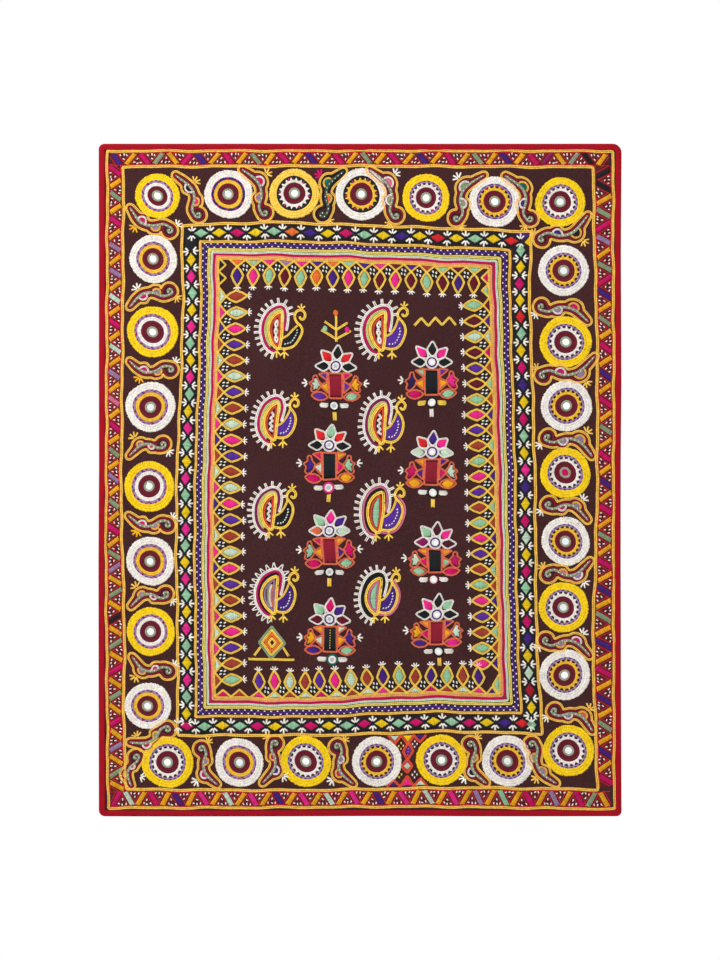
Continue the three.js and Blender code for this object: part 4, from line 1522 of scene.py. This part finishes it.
def linked_lozenges(work):
    """The lozenges and triangles between two roundels of the lowest row, outlined in vermilion."""
    x, top, low = 83.0, -1036.0, -1126.0
    for place, tall, thread in (((x + 1, -1064), 15, "purple"), ((x, -1090), 12, "pale")):
        shape = np.array([(0, tall), (-9, 0), (0, -tall), (9, 0)], float)
        work.chain(shape + place, "vermilion", 5.0, 2.6, closed=True, lift=0.2)
        work.satin(shape * 0.62 + place, thread, 90)
        work.dots(np.array([(0, 4), (0, -1), (0, -6)]) * tall / 14 + place, "rose", 2.4, 2.2, lift=0.6)
    for base, half, shift_up, triangles in (
            (top, 11, 1.5, ((-23, -14, "pale"), (0, -17, "yellow"), (21, -13, "violet"))),
            (low, 12, 0.0, ((-24, 12, "violet"), (0, 19, "pink"), (24, 13, "pale")))):
        for shift, rise, thread in triangles:
            shape = np.array([(shift - half, 0), (shift + half, 0), (shift, rise)]) + (x, base)
            work.satin(shrunk(shape, 0.72) + (0, shift_up), thread, 90)
            work.chain(shape[[0, 2, 1]], "vermilion", 4.8, 2.6, lift=0.2)
    for shift, height, thread in ((-12, -1054, "straw"), (-14, -1104, "straw"), (12, -1052, "white"),
                                  (13, -1106, "white")):
        work.dots(np.array([(0, 5), (0, -5), (-4, 0), (4, 0)]) + (x + shift, height), thread, 4.0, 3.0)


def small_figures():
    """The plain gold figures of the middle field and the linked lozenges."""
    work = Stitches(30)
    branch_middle, zigzag_middle, foot_middle = (-42, -323), (132, -312), (-154, -874)
    for rows, middle in (
            (BRANCH_FIGURE, branch_middle), (ZIGZAG_FIGURE, zigzag_middle), (FOOT_FIGURE, foot_middle)):
        for row in rows:
            work.chain(np.array(row) + middle, "straw", 4.6, 2.8, lift=0.2)
    for spot, thread in (((-62, -325), "mint"), ((-22, -325), "pink"), ((-42, -297), "orange")):
        work.satin(rays(np.linspace(0, 2 * math.pi, 10)) * 5.0 + spot, thread, 0, lift=1.2)
    lozenge = np.array([(0, 1), (-0.8, 0), (0, -1), (0.8, 0)])
    for reach, thread in ((28, "sage"), (22, "straw"), (15, "orange"), (8, "straw")):
        work.chain(lozenge * reach + foot_middle, thread, 4.6, 2.6, closed=True, lift=0.3)
    linked_lozenges(work)
    return work


# Add-on

class HangingSize(bpy.types.PropertyGroup):
    """How fine the cloth and the binding are"""
    cloth_cell: bpy.props.FloatProperty(
        name="Cloth cell", description="Side of one cell of the cloth's mesh", default=0.008, unit="LENGTH")
    binding_step: bpy.props.FloatProperty(
        name="Binding step", description="Distance between its sections", default=0.007, unit="LENGTH")


class HangingThread(bpy.types.PropertyGroup):
    """How even the stitches are"""
    unevenness: bpy.props.FloatProperty(
        name="Unevenness", description="How far stitches differ in size", default=0.06, subtype="FACTOR")
    seed: bpy.props.IntProperty(name="Seed", description="Seed of the uneven stitches", default=7)


class HangingStage(bpy.types.PropertyGroup):
    """Light round the hanging"""
    brightness: bpy.props.FloatProperty(
        name="Brightness", description="Strength of the even light round the hanging", default=0.75)
    key_power: bpy.props.FloatProperty(
        name="Key light", description="Power of the soft light from the upper left", default=62.0)


class ClothOperator(bpy.types.Operator):
    """Make the brown cotton cloth"""
    bl_idname = "hanging.cloth"
    bl_label = "Cloth"

    def execute(self, context):
        made = cloth_piece()
        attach(made, "root")
        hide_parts("ground_cloth")
        return {"FINISHED"}


class BindingOperator(bpy.types.Operator):
    """Fold the crimson strip round the edge"""
    bl_idname = "hanging.binding"
    bl_label = "Binding"

    def execute(self, context):
        made = binding_piece()
        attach(made, "root")
        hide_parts("edge_binding")
        return {"FINISHED"}


class MirrorsOperator(bpy.types.Operator):
    """Set the round mirrors"""
    bl_idname = "hanging.mirrors"
    bl_label = "Mirrors"

    def execute(self, context):
        bright, dull = linear(240, 243, 243), linear(176, 184, 194)
        kinds = {start: sorted(node for node in frame["nodes"] if node.startswith(start))
                 for start in ("mirror_", "petal_mirror_", "low_mirror_")}
        for name, nodes, finish, colour in (
                ("roundel_glass", kinds["mirror_"], "silvered glass", bright),
                ("left_petal_glass", kinds["petal_mirror_"][::2], "dull petal glass", dull),
                ("right_petal_glass", kinds["petal_mirror_"][1::2], "bright petal glass", bright),
                ("left_low_glass", kinds["low_mirror_"][::2], "dull low glass", dull),
                ("right_low_glass", kinds["low_mirror_"][1::2], "bright low glass", bright)):
            mirrors_piece(name, nodes, finish, colour)
        return {"FINISHED"}


class FramesOperator(bpy.types.Operator):
    """Stitch the chain-stitch frames, the violet ribbon and the slanted bars"""
    bl_idname = "hanging.frames"
    bl_label = "Frames"

    def execute(self, context):
        stitch_object("frame_lines", frame_lines())
        stitch_object("violet_ribbon", violet_ribbon())
        stitch_object("slanted_bars", slanted_bars())
        return {"FINISHED"}


class RoundelsOperator(bpy.types.Operator):
    """Stitch the roundels"""
    bl_idname = "hanging.roundels"
    bl_label = "Roundels"

    def execute(self, context):
        stitch_object("white_roundels", roundels("white"))
        stitch_object("yellow_roundels", roundels("yellow"))
        return {"FINISHED"}


class LeavesOperator(bpy.types.Operator):
    """Stitch the curled leaves between the roundels"""
    bl_idname = "hanging.leaves"
    bl_label = "Curled leaves"

    def execute(self, context):
        stitch_object("curled_leaves", curled_leaves())
        return {"FINISHED"}


class BandsOperator(bpy.types.Operator):
    """Stitch the diamond band and the lozenge fringe"""
    bl_idname = "hanging.bands"
    bl_label = "Diamonds and lozenges"

    def execute(self, context):
        stitch_object("diamond_band", diamond_band())
        stitch_object("lozenge_fringe", lozenge_fringe())
        return {"FINISHED"}


class FiguresOperator(bpy.types.Operator):
    """Stitch the birds, flowers and small figures"""
    bl_idname = "hanging.figures"
    bl_label = "Birds and flowers"

    def execute(self, context):
        stitch_object("birds", birds())
        stitch_object("flower_figures", flowers())
        stitch_object("small_figures", small_figures())
        return {"FINISHED"}


# Rows of the picture, and those that the hanging takes up in it
PICTURE_ROWS = 960
HANGING_ROWS = 672.4


class StageOperator(bpy.types.Operator):
    """Set the floor, lights and camera"""
    bl_idname = "hanging.stage"
    bl_label = "Stage"

    def execute(self, context):
        settings = context.scene.hanging_stage
        low, high = (Vector(corner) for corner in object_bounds())
        middle = (low + high) / 2
        floor_z = low.z - 0.42
        floor_left, floor_right, floor_front, floor_back = -3, 3, -4, 0.55
        corners = [(floor_left, floor_front, floor_z), (floor_right, floor_front, floor_z),
                   (floor_right, floor_back, floor_z), (floor_left, floor_back, floor_z)]
        mesh = new_mesh("floor", corners, [(0, 1, 2, 3)], smooth_faces=False)
        mesh.materials.append(floor_finish())
        new_object("floor", mesh)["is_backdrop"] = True

        world = bpy.data.worlds.new("pale studio")
        context.scene.world = world
        world.use_nodes = True
        tree = world.node_tree
        light = tree.nodes["Background"]
        light.inputs["Color"].default_value = (1, 1, 1, 1)
        light.inputs["Strength"].default_value = settings.brightness
        white = new_node(tree, "ShaderNodeBackground")
        white.inputs["Color"].default_value = (1, 1, 1, 1)
        seen = new_node(tree, "ShaderNodeLightPath")
        either = new_node(tree, "ShaderNodeMath", operation="MAXIMUM")
        blend = new_node(tree, "ShaderNodeMixShader")
        for output, target in (
                (seen.outputs["Is Camera Ray"], either.inputs[0]),
                (seen.outputs["Is Glossy Ray"], either.inputs[1]),
                (either.outputs[0], blend.inputs[0]), (light.outputs[0], blend.inputs[1]),
                (white.outputs[0], blend.inputs[2]),
                (blend.outputs[0], tree.nodes["World Output"].inputs["Surface"])):
            tree.links.new(output, target)

        key = bpy.data.lights.new("key", "AREA")
        key.energy = settings.key_power
        key.shape = "DISK"
        key.size = 1.2
        lamp = new_object("key", key)
        lamp.location = (-1.6, -2.4, 1.5)
        lamp.rotation_euler = (middle - lamp.location).to_track_quat("-Z", "Y").to_euler()

        lens = bpy.data.cameras.new("camera")
        lens.lens = 85
        lens.sensor_width = 36
        lens.clip_end = 60
        camera = new_object("camera", lens)
        view_height = HEIGHT * MM * PICTURE_ROWS / HANGING_ROWS
        camera.location = (middle.x, -view_height * lens.lens / lens.sensor_width, middle.z)
        camera.rotation_euler = (math.pi / 2, 0, 0)
        context.scene.camera = camera
        context.scene.view_settings.view_transform = "Standard"
        return {"FINISHED"}


OPERATORS = (
    ClothOperator, BindingOperator, MirrorsOperator, FramesOperator, RoundelsOperator, LeavesOperator,
    BandsOperator, FiguresOperator, StageOperator,
)


class HangingPanel(bpy.types.Panel):
    """Lists the hanging's pieces"""
    bl_idname = "VIEW3D_PT_hanging"
    bl_label = "Mirror work hanging"
    bl_space_type = "VIEW_3D"
    bl_region_type = "UI"
    bl_category = "Hanging"

    def draw(self, context):
        scene = context.scene
        for group in (scene.hanging_size, scene.hanging_thread, scene.hanging_stage):
            for name in group.__annotations__:
                self.layout.prop(group, name)
        for operator in OPERATORS:
            self.layout.operator(operator.bl_idname)


CLASSES = (HangingSize, HangingThread, HangingStage, *OPERATORS, HangingPanel)


def register():
    for cls in CLASSES:
        bpy.utils.register_class(cls)
    bpy.types.Scene.hanging_size = bpy.props.PointerProperty(type=HangingSize)
    bpy.types.Scene.hanging_thread = bpy.props.PointerProperty(type=HangingThread)
    bpy.types.Scene.hanging_stage = bpy.props.PointerProperty(type=HangingStage)


def unregister():
    for name in ("hanging_size", "hanging_thread", "hanging_stage"):
        delattr(bpy.types.Scene, name)
    for cls in reversed(CLASSES):
        bpy.utils.unregister_class(cls)


def main():
    register()
    bpy.ops.hanging.cloth()
    bpy.ops.hanging.binding()
    bpy.ops.hanging.mirrors()
    bpy.ops.hanging.frames()
    bpy.ops.hanging.roundels()
    bpy.ops.hanging.leaves()
    bpy.ops.hanging.bands()
    bpy.ops.hanging.figures()
    bpy.ops.hanging.stage()


if __name__ == "__main__":
    main()
